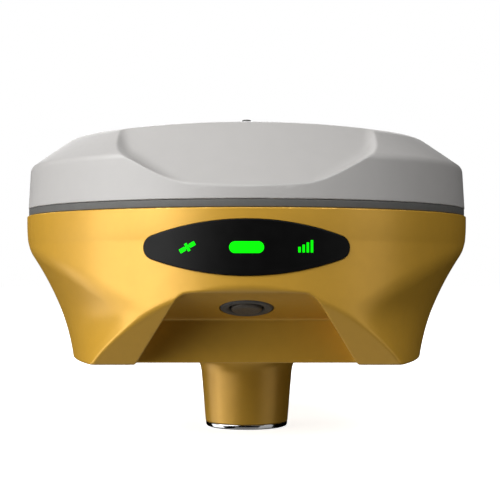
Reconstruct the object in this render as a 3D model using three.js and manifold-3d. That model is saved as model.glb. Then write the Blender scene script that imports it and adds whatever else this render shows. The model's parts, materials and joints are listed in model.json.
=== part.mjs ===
// GNSS receiver for a survey pole: round two-part housing, antenna under the cover,
// electronics and battery below, and a threaded neck that screws onto the pole.
// Units are millimetres. +Z is up, -Y is the front, and z = 0 is the foot of the neck.
import * as THREE from 'three';
import { mergeVertices } from 'three/addons/utils/BufferGeometryUtils.js';
import Module from 'manifold-3d';

const wasm = await Module();
wasm.setup();

// ---- driving dimensions ----
const GAP = 0.3;
const SHELL_SEGMENTS = 64;
const CAVITY_SEGMENTS = 40;
const FRONT = -1;
const BACK = 1;

const BODY_RADIUS = 76.5;
const BASE_Z = 25.6;
const RIM_Z = 73.1;
const WALL = 3;

const COVER_BOTTOM_Z = 75.6;
const COVER_RADIUS = 76.05;
const COVER_WALL = 2.5;
const COVER_TOP_Z = 105.1;
const COVER_DOME = 648;
const SHOULDER = new THREE.Vector2(75.3, 89.6);
const CONE_TOP = new THREE.Vector2(61.5, 99.3);
const MARK_RADIUS = 1.5;
const MARK_TOP_Z = 108.2;

const UNDERCUT_Y = 57.7;
const UNDERCUT_SLOPE = 1.31;
const NOTCH_WALL_Y = 48.5;
const NOTCH_LIP = new THREE.Vector3(19.3, 74.8, 48.25);
const NOTCH_CEILING_SLOPE = 0.335;
const NOTCH_TOP_HALF_WIDTH = 29.2;
const NOTCH_BASE_HALF_WIDTH = 36;

const SCOOP_EDGE = new THREE.Vector2(75.4, 80.5);
const SCOOP_SLOPE = 0.857;
const SCOOP_FLANK_POINT = new THREE.Vector3(32.3, 55.7, 89.3);
const SCOOP_FLANK_NORMAL = new THREE.Vector3(0.4, -0.2, -0.894).normalize();
const SCOOP_SHELF_POINT = new THREE.Vector3(14, 70, 83.93);
const SCOOP_SHELF_NORMAL = new THREE.Vector3(0.12, 0.833, 1).normalize();
const SCOOP_SIDE_POINT = new THREE.Vector3(41.3, 46, 101);
const SCOOP_SIDE_NORMAL = new THREE.Vector3(1, -0.56, -0.98).normalize();

const NECK_FOOT_RADIUS = 14.5;
const NECK_TOP_RADIUS = 15.9;
const NECK_BORE_RADIUS = 9.8;
const NECK_BORE_TOP = 25;
const RING_RADIUS = 14.35;
const RING_TOP_Z = 1.8;
const INSERT_RADIUS = 9.5;
const THREAD_MINOR_RADIUS = 6.9;

const BAND_INNER_RADIUS = 73.7;
const BAND_OUTER_RADIUS = 75.9;

const DISPLAY_Z = 61.4;
const DISPLAY_HALF_WIDTH = 30.6;
const DISPLAY_HALF_HEIGHT = 8.3;
const DISPLAY_TIP_RADIUS = 3.7;
const DISPLAY_POCKET_RADIUS = 74.5;
const LIGHT_INNER_RADIUS = 73.2;
const POWER_BAR = { halfWidth: 5.1, halfHeight: 1.7, radius: 1.69 };
const SATELLITE_X = -17.4;
const SATELLITE_TILT = THREE.MathUtils.degToRad(30);
const SATELLITE_BARS = [
  { halfWidth: 0.95, halfHeight: 0.6, x: -1.65 },
  { halfWidth: 0.95, halfHeight: 0.6, x: 1.65 },
  { halfWidth: 1.7, halfHeight: 0.22, x: 0 },
  { halfWidth: 0.45, halfHeight: 1.25, x: 0 },
];
const SIGNAL_BARS = [0, 1, 2, 3].map((step) => ({ x: 15.5 + step * 1.23, height: 1.6 + step * 0.66 }));
const SIGNAL_BAR_HALF_WIDTH = 0.36;
const SIGNAL_FOOT_Z = -1.5;
const SIGNAL_BASE = { halfWidth: 2.6, halfHeight: 2.2, x: 17.35, z: 0.3 };

const BUTTON_Y = -59.3;
const BEZEL_RADIUS = 8.15;
const BEZEL_BORE_RADIUS = 5.2;
const BUTTON_RADIUS = 4.7;
const BUTTON_POST_X = 11.5;

const DOOR_Z = 62;
const DOOR_HALF_WIDTH = 31;
const DOOR_HEIGHT = 18;
const DOOR_INNER_RADIUS = 74.1;
const DOOR_OUTER_RADIUS = 76.4;
const DOOR_GAP = 0.4;
const DOOR_CORNER_RADIUS = 1.2;
const BAY_HALF_WIDTH = 28.6;
const BAY_HEIGHT = 14.4;
const BAY_FRONT_Y = 22.4;
const TRAY_WALL = 1.4;
const TRAY_BACK_Y = 63.2;
const HINGE_X = -33.6;
const HINGE_RADIUS = 75.25;
const HINGE_Y = Math.sqrt(HINGE_RADIUS ** 2 - HINGE_X ** 2);
const HINGE_PIN_RADIUS = 0.6;
const HINGE_PIN_HALF_LENGTH = 8.4;
const HINGE_BORE_RADIUS = 0.68;
const HINGE_SWING_RADIUS = 3.5;
const KNUCKLE_RADIUS = 1.2;
const KNUCKLE_LENGTH = 7;

const RELEASE_X = 38.5;
const RELEASE_RADIUS = 3.6;

const PORT_Z = 32.9;
const PORT_X = 17;
const PORT_RADIUS = 4.6;
const PORT_BORE_RADIUS = 3.7;
const PORT_PIN_RING_RADIUS = 1.8;
const PORT_FACE_Y = NOTCH_WALL_Y;
const PORT_BACK_Y = 40.3;
const RADIO_RADIUS = 4.1;
const RADIO_BORE_RADIUS = 2.6;

const SCREW_X = 48;
const SCREW_Y = 24;
const SCREW_HEAD_Z = 60;
const SCREW_POST_RADIUS = 5;
const SCREW_WELL_RADIUS = 3.2;
const SCREW_HOLE_RADIUS = 1.75;
const SCREW_TIP_Z = 83.5;
const COVER_BOSS_RADIUS = 4;
const COVER_HOLE_RADIUS = 1.5;

const BOARD_Z = 41;
const BOARD_THICKNESS = 1.6;
const BOARD_HALF = 42;
const BOARD_SCREW = 37.5;
const BOARD_POST_RADIUS = 3;
const GROUND_PLANE_Z = 77.4;
const GROUND_PLANE_RADIUS = 64;
const RIBBON_X = -20;
const RIBBON_HALF_WIDTH = 5;
const RIBBON_HALF_THICKNESS = 0.15;
const FAR = 90;

const group = new THREE.Group();

// ---- materials ----
const finish = (color, roughness, metalness) => ({ color, roughness, metalness });
const YELLOW = finish('#d8a53c', 0.42, 0.25);
const COVER_GREY = finish('#c9c8c6', 0.5, 0);
const SEAL_GREY = finish('#4c4c4b', 0.7, 0);
const CHROME = finish('#dcdcde', 0.12, 1);
const STEEL = finish('#a9abae', 0.35, 1);
const BRASS = finish('#c2a25a', 0.3, 1);
const GOLD = finish('#d9b356', 0.3, 1);
const LENS_BLACK = finish('#0b0b0c', 0.15, 0);
const LIGHT_GREEN = finish('#04f804', 0.4, 0);
const BUTTON_GREY = finish('#3c3c3b', 0.6, 0);
const BUTTON_CAP = finish('#443d35', 0.6, 0);
const BOARD_GREEN = finish('#1d5a34', 0.5, 0);
const CERAMIC = finish('#e4ded2', 0.6, 0);
const COPPER = finish('#c07a4a', 0.35, 1);
const TRAY_BLACK = finish('#232325', 0.6, 0);
const BATTERY_GREY = finish('#3a3d42', 0.5, 0);
const RUBBER = finish('#1e1e1f', 0.8, 0);
const LEAD_BROWN = finish('#6b4a2c', 0.5, 0);
const RIBBON = finish('#b98a3a', 0.5, 0);

// ---- solids ----
function solidOf(geometry) {
  const bare = geometry.clone();
  bare.deleteAttribute('normal');
  bare.deleteAttribute('uv');
  const merged = mergeVertices(bare, 1e-4);
  const vertProperties = new Float32Array(merged.attributes.position.array);
  const triVerts = new Uint32Array(merged.index.array);
  return new wasm.Manifold(new wasm.Mesh({ numProp: 3, vertProperties, triVerts }));
}

function geometryOf(solid) {
  const mesh = solid.getMesh();
  const geometry = new THREE.BufferGeometry();
  geometry.setAttribute('position', new THREE.BufferAttribute(mesh.vertProperties, 3));
  geometry.setIndex(new THREE.BufferAttribute(mesh.triVerts, 1));
  geometry.computeVertexNormals();
  return geometry;
}

function addPart(name, shape, look) {
  const geometry = shape.isBufferGeometry ? shape : geometryOf(shape);
  const mesh = new THREE.Mesh(geometry, new THREE.MeshStandardMaterial(look));
  mesh.name = name;
  group.add(mesh);
}

// A turned shape about Z from [radius, z] points that run up its outside.
function turned(points, segments = 32) {
  const profile = points.map(([radius, z]) => new THREE.Vector2(radius, z));
  return new THREE.LatheGeometry(profile, segments).rotateX(Math.PI / 2);
}

function disc(radius, z0, z1, segments = 32) {
  return turned([[0, z0], [radius, z0], [radius, z1], [0, z1]], segments);
}

function ring(inner, outer, z0, z1, segments = 32) {
  return turned([[inner, z0], [outer, z0], [outer, z1], [inner, z1], [inner, z0]], segments);
}

function box(x0, x1, y0, y1, z0, z1) {
  const geometry = new THREE.BoxGeometry(x1 - x0, y1 - y0, z1 - z0);
  return geometry.translate((x0 + x1) / 2, (y0 + y1) / 2, (z0 + z1) / 2);
}

function roundedRect(halfWidth, halfHeight, radius) {
  const shape = new THREE.Shape();
  const w = halfWidth - radius;
  const h = halfHeight - radius;
  shape.absarc(w, h, radius, 0, Math.PI / 2);
  shape.absarc(-w, h, radius, Math.PI / 2, Math.PI);
  shape.absarc(-w, -h, radius, Math.PI, Math.PI * 1.5);
  shape.absarc(w, -h, radius, Math.PI * 1.5, Math.PI * 2);
  return shape;
}

function extruded(shape, depth, curveSegments = 3) {
  return new THREE.ExtrudeGeometry(shape, { depth, bevelEnabled: false, curveSegments });
}

// A plate lying flat, its outline in X and Y.
function plate(halfX, halfY, radius, z0, z1) {
  return extruded(roundedRect(halfX, halfY, radius), z1 - z0).translate(0, 0, z0);
}

// An outline in X and Z pushed along Y from y0 to y1.
function alongY(shape, y0, y1, curveSegments = 8) {
  return extruded(shape, y1 - y0, curveSegments).rotateX(Math.PI / 2).translate(0, y1, 0);
}

// Everything behind the plane through a point, seen against its normal.
function behindPlane(point, normal) {
  const size = 400;
  const block = new THREE.BoxGeometry(size, size, size).translate(0, 0, -size / 2);
  const up = new THREE.Vector3(0, 0, 1);
  block.applyQuaternion(new THREE.Quaternion().setFromUnitVectors(up, normal.clone().normalize()));
  return solidOf(block.translate(point.x, point.y, point.z));
}

// ---- outer form of the lower housing ----
function bodyRadiusAt(z) {
  const low = THREE.MathUtils.clamp((71 - z) / 8, 0, 1);
  const taper = THREE.MathUtils.clamp((48 - z) / 22, 0, 1.2);
  return BODY_RADIUS - 0.5 * low ** 2 - 0.5 * taper ** 2;
}

function facetReachAt(z) {
  const bend = (z - 4.4) / 100;
  return 157.4 - 100 * Math.sqrt(1 - bend ** 2);
}

function facetCentreAt(z) {
  return 26 + 64 * THREE.MathUtils.clamp((46 - z) / 20.4, 0, 1) ** 2.3;
}

// A stack of circles whose centre and radius change with height: one hollow-faced side facet.
function facetSolid(side, inset) {
  const levels = [];
  for (let z = BASE_Z - 4; z <= RIM_Z + 6; z += 6) {
    levels.push(z);
  }
  const last = levels.length - 1;
  const geometry = new THREE.CylinderGeometry(1, 1, 1, 96, last);
  geometry.rotateX(Math.PI / 2);
  const position = geometry.attributes.position;
  for (let i = 0; i < position.count; i += 1) {
    const z = levels[Math.round((position.getZ(i) + 0.5) * last)];
    const centre = facetCentreAt(z);
    const radius = facetReachAt(z) + centre - inset;
    position.setXYZ(i, position.getX(i) * radius - side * centre, position.getY(i) * radius, z);
  }
  return solidOf(geometry);
}

function bodyBlank(inset, z0, z1, segments) {
  const levels = [z0, 32, 40, 48, 63, 71, z1];
  const points = levels.map((z) => [bodyRadiusAt(z) - inset, z]);
  const blank = solidOf(turned([[0, z0], ...points, [0, z1]], segments));
  return blank.intersect(facetSolid(1, inset)).intersect(facetSolid(-1, inset));
}

// The slanted cut under the front or the back of the body.
function underCut(side, grow) {
  const normal = new THREE.Vector3(0, -side * UNDERCUT_SLOPE, 1).normalize();
  const point = new THREE.Vector3(0, side * UNDERCUT_Y, BASE_Z).addScaledVector(normal, grow);
  return behindPlane(point, normal);
}

function notchCeilingZ(y) {
  return NOTCH_LIP.z - (NOTCH_LIP.y - Math.abs(y)) * NOTCH_CEILING_SLOPE;
}

// The recess under the front or the back: a sloping ceiling, an upright wall and flared sides.
function notch(side, grow) {
  const corner = new THREE.Vector3(NOTCH_TOP_HALF_WIDTH, NOTCH_WALL_Y, notchCeilingZ(NOTCH_WALL_Y));
  const foot = new THREE.Vector3(NOTCH_BASE_HALF_WIDTH, NOTCH_WALL_Y, BASE_Z);
  const across = corner.clone().sub(NOTCH_LIP);
  const flank = across.cross(foot.clone().sub(corner)).normalize();
  if (flank.x < 0) {
    flank.negate();
  }
  const ceiling = new THREE.Vector3(0, -NOTCH_CEILING_SLOPE, 1).normalize();
  const wall = new THREE.Vector3(0, -1, 0);
  const faces = [[corner, ceiling], [corner, wall], [corner, flank]];
  let space = null;
  for (const [point, normal] of faces) {
    for (const flip of normal === flank ? [1, -1] : [1]) {
      const turnedNormal = new THREE.Vector3(normal.x * flip, normal.y * side, normal.z);
      const turnedPoint = new THREE.Vector3(point.x * flip, point.y * side, point.z);
      const half = behindPlane(turnedPoint.addScaledVector(turnedNormal, grow), turnedNormal);
      space = space === null ? half : space.intersect(half);
    }
  }
  return space;
}

function cutBothSides(solid, cutter, grow) {
  return solid.subtract(cutter(FRONT, grow)).subtract(cutter(BACK, grow));
}

// ---- screw wells and posts ----
const corners = [[1, 1], [-1, 1], [-1, -1], [1, -1]];
const screwPlaces = corners.map(([x, y]) => [x * SCREW_X, y * SCREW_Y]);
const boardScrewPlaces = corners.map(([x, y]) => [x * BOARD_SCREW, y * BOARD_SCREW]);

function atEach(places, makeGeometry) {
  const solids = places.map(([x, y]) => solidOf(makeGeometry().translate(x, y, 0)));
  return solids.reduce((joined, next) => joined.add(next));
}

// ---- display ----
// A pointed oval: two long arcs that run into small round tips.
function displayOutline(grow) {
  const height = DISPLAY_HALF_HEIGHT + grow;
  const tip = DISPLAY_TIP_RADIUS + grow;
  const tipX = DISPLAY_HALF_WIDTH + grow - tip;
  const sweep = (tipX ** 2 + height ** 2 - tip ** 2) / (2 * (height - tip));
  const drop = sweep - height;
  const lean = Math.atan2(drop, tipX);
  const shape = new THREE.Shape();
  shape.absarc(tipX, 0, tip, -lean, lean);
  shape.absarc(0, -drop, sweep, lean, Math.PI - lean);
  shape.absarc(-tipX, 0, tip, Math.PI - lean, Math.PI + lean);
  shape.absarc(0, drop, sweep, Math.PI + lean, Math.PI * 2 - lean);
  return shape;
}

// The part of a front or back outline that lies between two radii about Z.
function wallPiece(shape, side, inner, outer, z, curveSegments = 10) {
  const [near, far] = side === FRONT ? [-FAR, -40] : [40, FAR];
  const core = alongY(shape, near, far, curveSegments).translate(0, 0, z);
  const shell = ring(inner, outer, z - 14, z + 14, SHELL_SEGMENTS);
  return solidOf(core).intersect(solidOf(shell));
}

function barShape(halfWidth, halfHeight, radius, x, z) {
  const shape = roundedRect(halfWidth, halfHeight, radius);
  const moved = shape.getPoints(1).map((point) => new THREE.Vector2(point.x + x, point.y + z));
  return new THREE.Shape(moved);
}

function satelliteSolid(inner, outer, grow) {
  const pieces = SATELLITE_BARS.map(({ halfWidth, halfHeight, x }) => {
    const bar = alongY(roundedRect(halfWidth + grow, halfHeight + grow, 0.15), -FAR, -40, 2);
    bar.translate(x, 0, 0).rotateY(-SATELLITE_TILT).translate(SATELLITE_X, 0, DISPLAY_Z);
    return solidOf(bar);
  });
  const joined = pieces.reduce((all, next) => all.add(next));
  return joined.intersect(solidOf(ring(inner, outer, DISPLAY_Z - 8, DISPLAY_Z + 8, SHELL_SEGMENTS)));
}

function powerBarSolid(inner, outer, grow) {
  const { halfWidth, halfHeight, radius } = POWER_BAR;
  const shape = roundedRect(halfWidth + grow, halfHeight + grow, radius + grow);
  return wallPiece(shape, FRONT, inner, outer, DISPLAY_Z, 5);
}

function signalBarsSolid(inner, outer, grow) {
  const bars = SIGNAL_BARS.map(({ x, height }) => {
    const z = SIGNAL_FOOT_Z + height / 2;
    const shape = barShape(SIGNAL_BAR_HALF_WIDTH + grow, height / 2 + grow, 0.1, x, z);
    return wallPiece(shape, FRONT, inner, outer, DISPLAY_Z, 1);
  });
  return bars.reduce((all, next) => all.add(next));
}

function signalBase(inner, outer, grow) {
  const { halfWidth, halfHeight, x, z } = SIGNAL_BASE;
  const shape = barShape(halfWidth + grow, halfHeight + grow, 0.3, x, z);
  return wallPiece(shape, FRONT, inner, outer, DISPLAY_Z, 1);
}

function makeDisplay() {
  const lensBack = DISPLAY_POCKET_RADIUS + 0.1;
  let lens = wallPiece(displayOutline(0), FRONT, lensBack, BODY_RADIUS - 0.05, DISPLAY_Z, 9);
  lens = lens.subtract(powerBarSolid(70, 80, 0.15));
  lens = lens.subtract(satelliteSolid(70, 80, 0.15));
  lens = lens.subtract(signalBarsSolid(70, 80, 0.15));
  addPart('display_window', lens, LENS_BLACK);
  addPart('power_light', powerBarSolid(LIGHT_INNER_RADIUS, BODY_RADIUS, 0), LIGHT_GREEN);
  addPart('satellite_light', satelliteSolid(LIGHT_INNER_RADIUS, BODY_RADIUS, 0), LIGHT_GREEN);
  const base = signalBase(LIGHT_INNER_RADIUS, LIGHT_INNER_RADIUS + 1, 0);
  const bars = signalBarsSolid(LIGHT_INNER_RADIUS + 0.7, BODY_RADIUS, 0).add(base);
  addPart('signal_lights', bars, LIGHT_GREEN);
  const board = alongY(roundedRect(24, 7.2, 1.5), -68.6, -67, 3).translate(0, 0, DISPLAY_Z);
  addPart('display_board', board, BOARD_GREEN);
}

// ---- lower housing ----
function doorHinge(radius, z0, z1, segments = 16) {
  return disc(radius, z0, z1, segments).translate(HINGE_X, HINGE_Y, 0);
}

function buttonPlace(geometry) {
  const up = new THREE.Vector3(0, 0, 1);
  const out = new THREE.Vector3(0, -NOTCH_CEILING_SLOPE, -1).normalize();
  geometry.applyQuaternion(new THREE.Quaternion().setFromUnitVectors(up, out));
  return geometry.translate(0, BUTTON_Y, notchCeilingZ(BUTTON_Y));
}

function releasePlace(geometry) {
  const angle = Math.asin(RELEASE_X / BODY_RADIUS);
  geometry.rotateX(-Math.PI / 2).rotateZ(-angle);
  return geometry.translate(BODY_RADIUS * Math.sin(angle), BODY_RADIUS * Math.cos(angle), DOOR_Z);
}

function boredY(radius, x, y0, y1, segments = 24) {
  return disc(radius, y0, y1, segments).rotateX(-Math.PI / 2).translate(x, 0, PORT_Z);
}

function housingOuter() {
  const blank = bodyBlank(0, BASE_Z, RIM_Z, SHELL_SEGMENTS);
  return cutBothSides(cutBothSides(blank, underCut, 0), notch, 0);
}

function housingCavity() {
  const blank = bodyBlank(WALL, BASE_Z + WALL, RIM_Z + 1, CAVITY_SEGMENTS);
  return cutBothSides(cutBothSides(blank, underCut, WALL), notch, WALL);
}

function neckSolid() {
  return solidOf(turned([
    [0, RING_TOP_Z + 0.1], [NECK_FOOT_RADIUS, RING_TOP_Z + 0.1], [NECK_TOP_RADIUS, 19.6],
    [NECK_TOP_RADIUS + 0.5, 22.2], [NECK_TOP_RADIUS + 1.7, 24.1], [NECK_TOP_RADIUS + 3.6, 25.2],
    [NECK_TOP_RADIUS + 6, BASE_Z], [0, BASE_Z + 0.5],
  ], 36));
}

// Posts, ledges and the door frame, all inside the walls.
function housingPosts() {
  const doorFrame = roundedRect(DOOR_HALF_WIDTH + 2.4, DOOR_HEIGHT / 2 + 1.6, 3);
  const buttonPost = (x) => solidOf(buttonPlace(disc(1.6, -9, -1, 10).translate(x, 0, 0)));
  const trayLedge = (x) => solidOf(box(x - 1, x + 1, 46, 60, BASE_Z + 12, 53.2));
  return [
    atEach(screwPlaces, () => disc(SCREW_POST_RADIUS, BASE_Z + 1, RIM_Z, 16)),
    atEach(boardScrewPlaces, () => disc(BOARD_POST_RADIUS, BASE_Z + 1, BOARD_Z - 0.1, 12)),
    solidOf(doorHinge(3, 52, RIM_Z)),
    trayLedge(-24),
    trayLedge(24),
    buttonPost(BUTTON_POST_X),
    buttonPost(-BUTTON_POST_X),
    wallPiece(doorFrame, BACK, 70.8, 75, DOOR_Z, 3),
  ];
}

function screwCuts() {
  const headWell = () => disc(SCREW_WELL_RADIUS, BASE_Z - 1, SCREW_HEAD_Z, 16);
  const shankHole = () => disc(SCREW_HOLE_RADIUS, SCREW_HEAD_Z - 1, RIM_Z + 1, 12);
  return [
    atEach(screwPlaces, headWell),
    atEach(screwPlaces, shankHole),
    atEach(boardScrewPlaces, () => disc(1.3, BOARD_Z - 7, BOARD_Z + 1, 12)),
  ];
}

function displayCuts() {
  return [
    wallPiece(displayOutline(0.2), FRONT, DISPLAY_POCKET_RADIUS, 80, DISPLAY_Z, 9),
    powerBarSolid(70, 80, 0.2),
    satelliteSolid(70, 80, 0.2),
    signalBase(70, 80, 0.2),
    solidOf(buttonPlace(disc(BEZEL_RADIUS + GAP, -7, 3, 28))),
  ];
}

function doorCuts() {
  const pocket = roundedRect(DOOR_HALF_WIDTH + DOOR_GAP, DOOR_HEIGHT / 2 + DOOR_GAP, DOOR_CORNER_RADIUS);
  const bay = roundedRect(BAY_HALF_WIDTH, BAY_HEIGHT / 2, 1.5);
  const room = KNUCKLE_LENGTH / 2 + GAP;
  const pinRoom = HINGE_PIN_HALF_LENGTH + 0.2;
  return [
    wallPiece(pocket, BACK, DOOR_INNER_RADIUS - 0.8, 80, DOOR_Z, 3),
    wallPiece(bay, BACK, 60, 80, DOOR_Z, 3),
    solidOf(box(HINGE_X - 2, -DOOR_HALF_WIDTH, HINGE_Y - 1.8, FAR, DOOR_Z - room, DOOR_Z + room)),
    solidOf(doorHinge(HINGE_BORE_RADIUS, DOOR_Z - pinRoom, DOOR_Z + pinRoom)),
    solidOf(releasePlace(disc(RELEASE_RADIUS + 0.2, -12, 3, 20))),
  ];
}

function portCuts() {
  return [
    solidOf(boredY(PORT_RADIUS + 0.1, PORT_X, 40, 52)),
    solidOf(boredY(PORT_RADIUS + 0.1, -PORT_X, 40, 52)),
    solidOf(boredY(RADIO_RADIUS + 0.2, 0, 40, 52)),
  ];
}

function makeLowerHousing() {
  const outer = housingOuter();
  let housing = outer.subtract(housingCavity()).add(neckSolid());
  for (const post of housingPosts()) {
    housing = housing.add(post.intersect(outer));
  }
  const neckBore = solidOf(disc(NECK_BORE_RADIUS, -1, NECK_BORE_TOP, 36));
  for (const cut of [neckBore, ...screwCuts(), ...displayCuts(), ...doorCuts(), ...portCuts()]) {
    housing = housing.subtract(cut);
  }
  addPart('lower_housing', housing, YELLOW);
}

// ---- neck ----
function makeNeck() {
  const foot = turned([
    [NECK_BORE_RADIUS, 0], [13.1, 0], [13.9, 0.3], [14.25, 0.9], [RING_RADIUS, 1.4],
    [RING_RADIUS, RING_TOP_Z], [NECK_BORE_RADIUS, RING_TOP_Z], [NECK_BORE_RADIUS, 0],
  ], 36);
  addPart('neck_ring', foot, CHROME);
  addPart('threaded_insert', ring(THREAD_MINOR_RADIUS, INSERT_RADIUS, 0.4, 24.6, 36), STEEL);
}

// ---- top cover ----
function coverProfile(inset) {
  const cone = new THREE.Vector2().subVectors(CONE_TOP, SHOULDER);
  const points = [[COVER_RADIUS - inset, COVER_BOTTOM_Z]];
  points.push([SHOULDER.x - inset * 0.96, SHOULDER.y - 1 - inset * 0.5]);
  points.push([SHOULDER.x - 1 - inset * 0.8, SHOULDER.y + 0.6 - inset * 0.8]);
  for (const along of [0.85, 1]) {
    points.push([SHOULDER.x + cone.x * along - inset * 0.55, SHOULDER.y + cone.y * along - inset]);
  }
  for (const radius of [52, 36, 18]) {
    points.push([radius, COVER_TOP_Z - radius ** 2 / COVER_DOME - inset]);
  }
  points.push([0, COVER_TOP_Z - inset]);
  return points;
}

// The wide dished cut in the front or the back of the cover's shoulder.
function scoop(side, grow) {
  const faces = [[SCOOP_FLANK_POINT, SCOOP_FLANK_NORMAL], [SCOOP_SIDE_POINT, SCOOP_SIDE_NORMAL]];
  const [near, far] = side === FRONT ? [-FAR, 0] : [0, FAR];
  let space = solidOf(box(-FAR, FAR, near, far, 70, 120));
  for (const [facePoint, faceNormal] of faces) {
    for (const flip of [1, -1]) {
      const mirror = new THREE.Vector3(flip, side, 1);
      const normal = faceNormal.clone().multiply(mirror);
      const point = facePoint.clone().multiply(mirror);
      space = space.intersect(behindPlane(point.addScaledVector(normal, grow), normal));
    }
  }
  const drop = grow * 1.3;
  const tip = SCOOP_EDGE.y + SCOOP_EDGE.x * SCOOP_SLOPE - drop;
  const rimZ = SCOOP_EDGE.y - (FAR - SCOOP_EDGE.x) * SCOOP_SLOPE - drop;
  const cone = turned([[0, 40], [FAR, 40], [FAR, rimZ], [0, tip]], SHELL_SEGMENTS);
  space = space.subtract(solidOf(cone));
  for (const flip of [1, -1]) {
    const mirror = new THREE.Vector3(flip, side, 1);
    const normal = SCOOP_SHELF_NORMAL.clone().multiply(mirror);
    const point = SCOOP_SHELF_POINT.clone().multiply(mirror);
    space = space.subtract(behindPlane(point.addScaledVector(normal, -grow), normal));
  }
  return space;
}

function makeTopCover() {
  let outer = solidOf(turned([[0, COVER_BOTTOM_Z], ...coverProfile(0)], SHELL_SEGMENTS));
  outer = cutBothSides(outer, scoop, 0);
  const lowCavity = [[0, COVER_BOTTOM_Z - 1], [COVER_RADIUS - COVER_WALL, COVER_BOTTOM_Z - 1]];
  let cavity = solidOf(turned([...lowCavity, ...coverProfile(COVER_WALL)], CAVITY_SEGMENTS));
  cavity = cutBothSides(cavity, scoop, COVER_WALL);
  const boss = () => disc(COVER_BOSS_RADIUS, COVER_BOTTOM_Z, COVER_TOP_Z, 16);
  const screwHole = () => disc(COVER_HOLE_RADIUS, COVER_BOTTOM_Z - 1, SCREW_TIP_Z + 0.5, 16);
  const bosses = atEach(screwPlaces, boss).intersect(outer);
  const cover = outer.subtract(cavity).add(bosses).subtract(atEach(screwPlaces, screwHole));
  addPart('top_cover', cover, COVER_GREY);
  const markFoot = COVER_TOP_Z + 0.05;
  const mark = turned([
    [0, markFoot], [MARK_RADIUS + 0.4, markFoot], [MARK_RADIUS + 0.4, markFoot + 0.5],
    [MARK_RADIUS, markFoot + 0.9], [MARK_RADIUS, MARK_TOP_Z - 0.8],
    [MARK_RADIUS - 0.4, MARK_TOP_Z - 0.25], [0, MARK_TOP_Z],
  ], 16);
  addPart('centre_mark', mark, SEAL_GREY);
  const bandLow = RIM_Z + 0.1;
  const bandHigh = COVER_BOTTOM_Z - 0.1;
  const band = ring(BAND_INNER_RADIUS, BAND_OUTER_RADIUS, bandLow, bandHigh, SHELL_SEGMENTS);
  addPart('seal_band', band, SEAL_GREY);
}

// ---- power button ----
function makePowerButton() {
  const bezel = turned([
    [BEZEL_BORE_RADIUS, -4.6], [BEZEL_RADIUS, -4.6], [BEZEL_RADIUS, 0], [BEZEL_RADIUS - 0.4, 0.35],
    [BEZEL_BORE_RADIUS + 0.5, 0.35], [BEZEL_BORE_RADIUS, 0], [BEZEL_BORE_RADIUS, -4.6],
  ], 28);
  addPart('button_bezel', buttonPlace(bezel), BUTTON_GREY);
  const cap = turned([
    [0, -4], [BUTTON_RADIUS, -4], [BUTTON_RADIUS, 0.3], [BUTTON_RADIUS - 0.5, 0.7],
    [2.6, 0.85], [0, 0.9],
  ], 24);
  addPart('power_button', buttonPlace(cap), BUTTON_CAP);
  addPart('power_switch', buttonPlace(plate(3, 3, 0.4, -9, -5.3)), STEEL);
  addPart('button_board', buttonPlace(plate(14, 6, 1, -10.4, -9.2)), BOARD_GREEN);
}

// ---- antenna under the cover ----
function makeAntenna() {
  const clearHoles = atEach(screwPlaces, () => disc(4.6, 70, 90, 16));
  const plane = solidOf(disc(GROUND_PLANE_RADIUS, GROUND_PLANE_Z, GROUND_PLANE_Z + 1.2, 36));
  addPart('ground_plane', plane.subtract(clearHoles), GOLD);
  const z = GROUND_PLANE_Z + 1.3;
  const stack = [
    ['lower_antenna_substrate', 42, 0, 7, CERAMIC],
    ['lower_antenna_patch', 35, 7.1, 7.6, COPPER],
    ['upper_antenna_substrate', 28, 7.7, 12.7, CERAMIC],
    ['upper_antenna_patch', 22, 12.8, 13.3, COPPER],
  ];
  for (const [name, radius, low, high, look] of stack) {
    addPart(name, disc(radius, z + low, z + high, 28), look);
  }
  const can = plate(19, 15, 1.5, GROUND_PLANE_Z - 5.6, GROUND_PLANE_Z - 0.1).translate(0, -14, 0);
  addPart('amplifier_shield', can, STEEL);
}

// ---- electronics ----
function makeElectronics() {
  const holes = atEach(boardScrewPlaces, () => disc(1.5, BOARD_Z - 2, BOARD_Z + 4, 12));
  const outline = plate(BOARD_HALF, BOARD_HALF, 3, BOARD_Z, BOARD_Z + BOARD_THICKNESS);
  addPart('main_board', solidOf(outline).subtract(holes), BOARD_GREEN);
  const top = BOARD_Z + BOARD_THICKNESS + 0.1;
  const modules = [
    ['gnss_module', 17, 14, -16, -14, 4.2, STEEL],
    ['radio_module', 13, 19, 22, -8, 6.5, STEEL],
    ['modem_module', 12, 10, -18, 22, 3.2, STEEL],
  ];
  for (const [name, halfX, halfY, x, y, height, look] of modules) {
    addPart(name, plate(halfX, halfY, 1, top, top + height).translate(x, y, 0), look);
  }
  const buzzer = ring(1.2, 6, top, top + 5, 24).translate(22, 24, 0);
  addPart('buzzer', buzzer, TRAY_BLACK);
  boardScrewPlaces.forEach(([x, y], index) => {
    const screw = turned([
      [0, top - 7], [1.2, top - 7], [1.2, top], [2.4, top], [2.2, top + 1.5], [0, top + 1.7],
    ], 12);
    addPart(`board_screw_${index + 1}`, screw.translate(x, y, 0), STEEL);
  });
}

function makeHousingScrews() {
  const z = SCREW_HEAD_Z - 0.1;
  const blank = solidOf(turned([
    [0, z - 2.4], [2.5, z - 2.4], [2.8, z - 2], [2.8, z], [1.4, z], [1.4, SCREW_TIP_Z],
    [0, SCREW_TIP_Z],
  ], 12));
  const socket = new THREE.CylinderGeometry(1.3, 1.3, 3, 6).rotateX(Math.PI / 2);
  const screw = blank.subtract(solidOf(socket.translate(0, 0, z - 2.4)));
  screwPlaces.forEach(([x, y], index) => {
    addPart(`housing_screw_${index + 1}`, geometryOf(screw).translate(x, y, 0), STEEL);
  });
}

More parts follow.
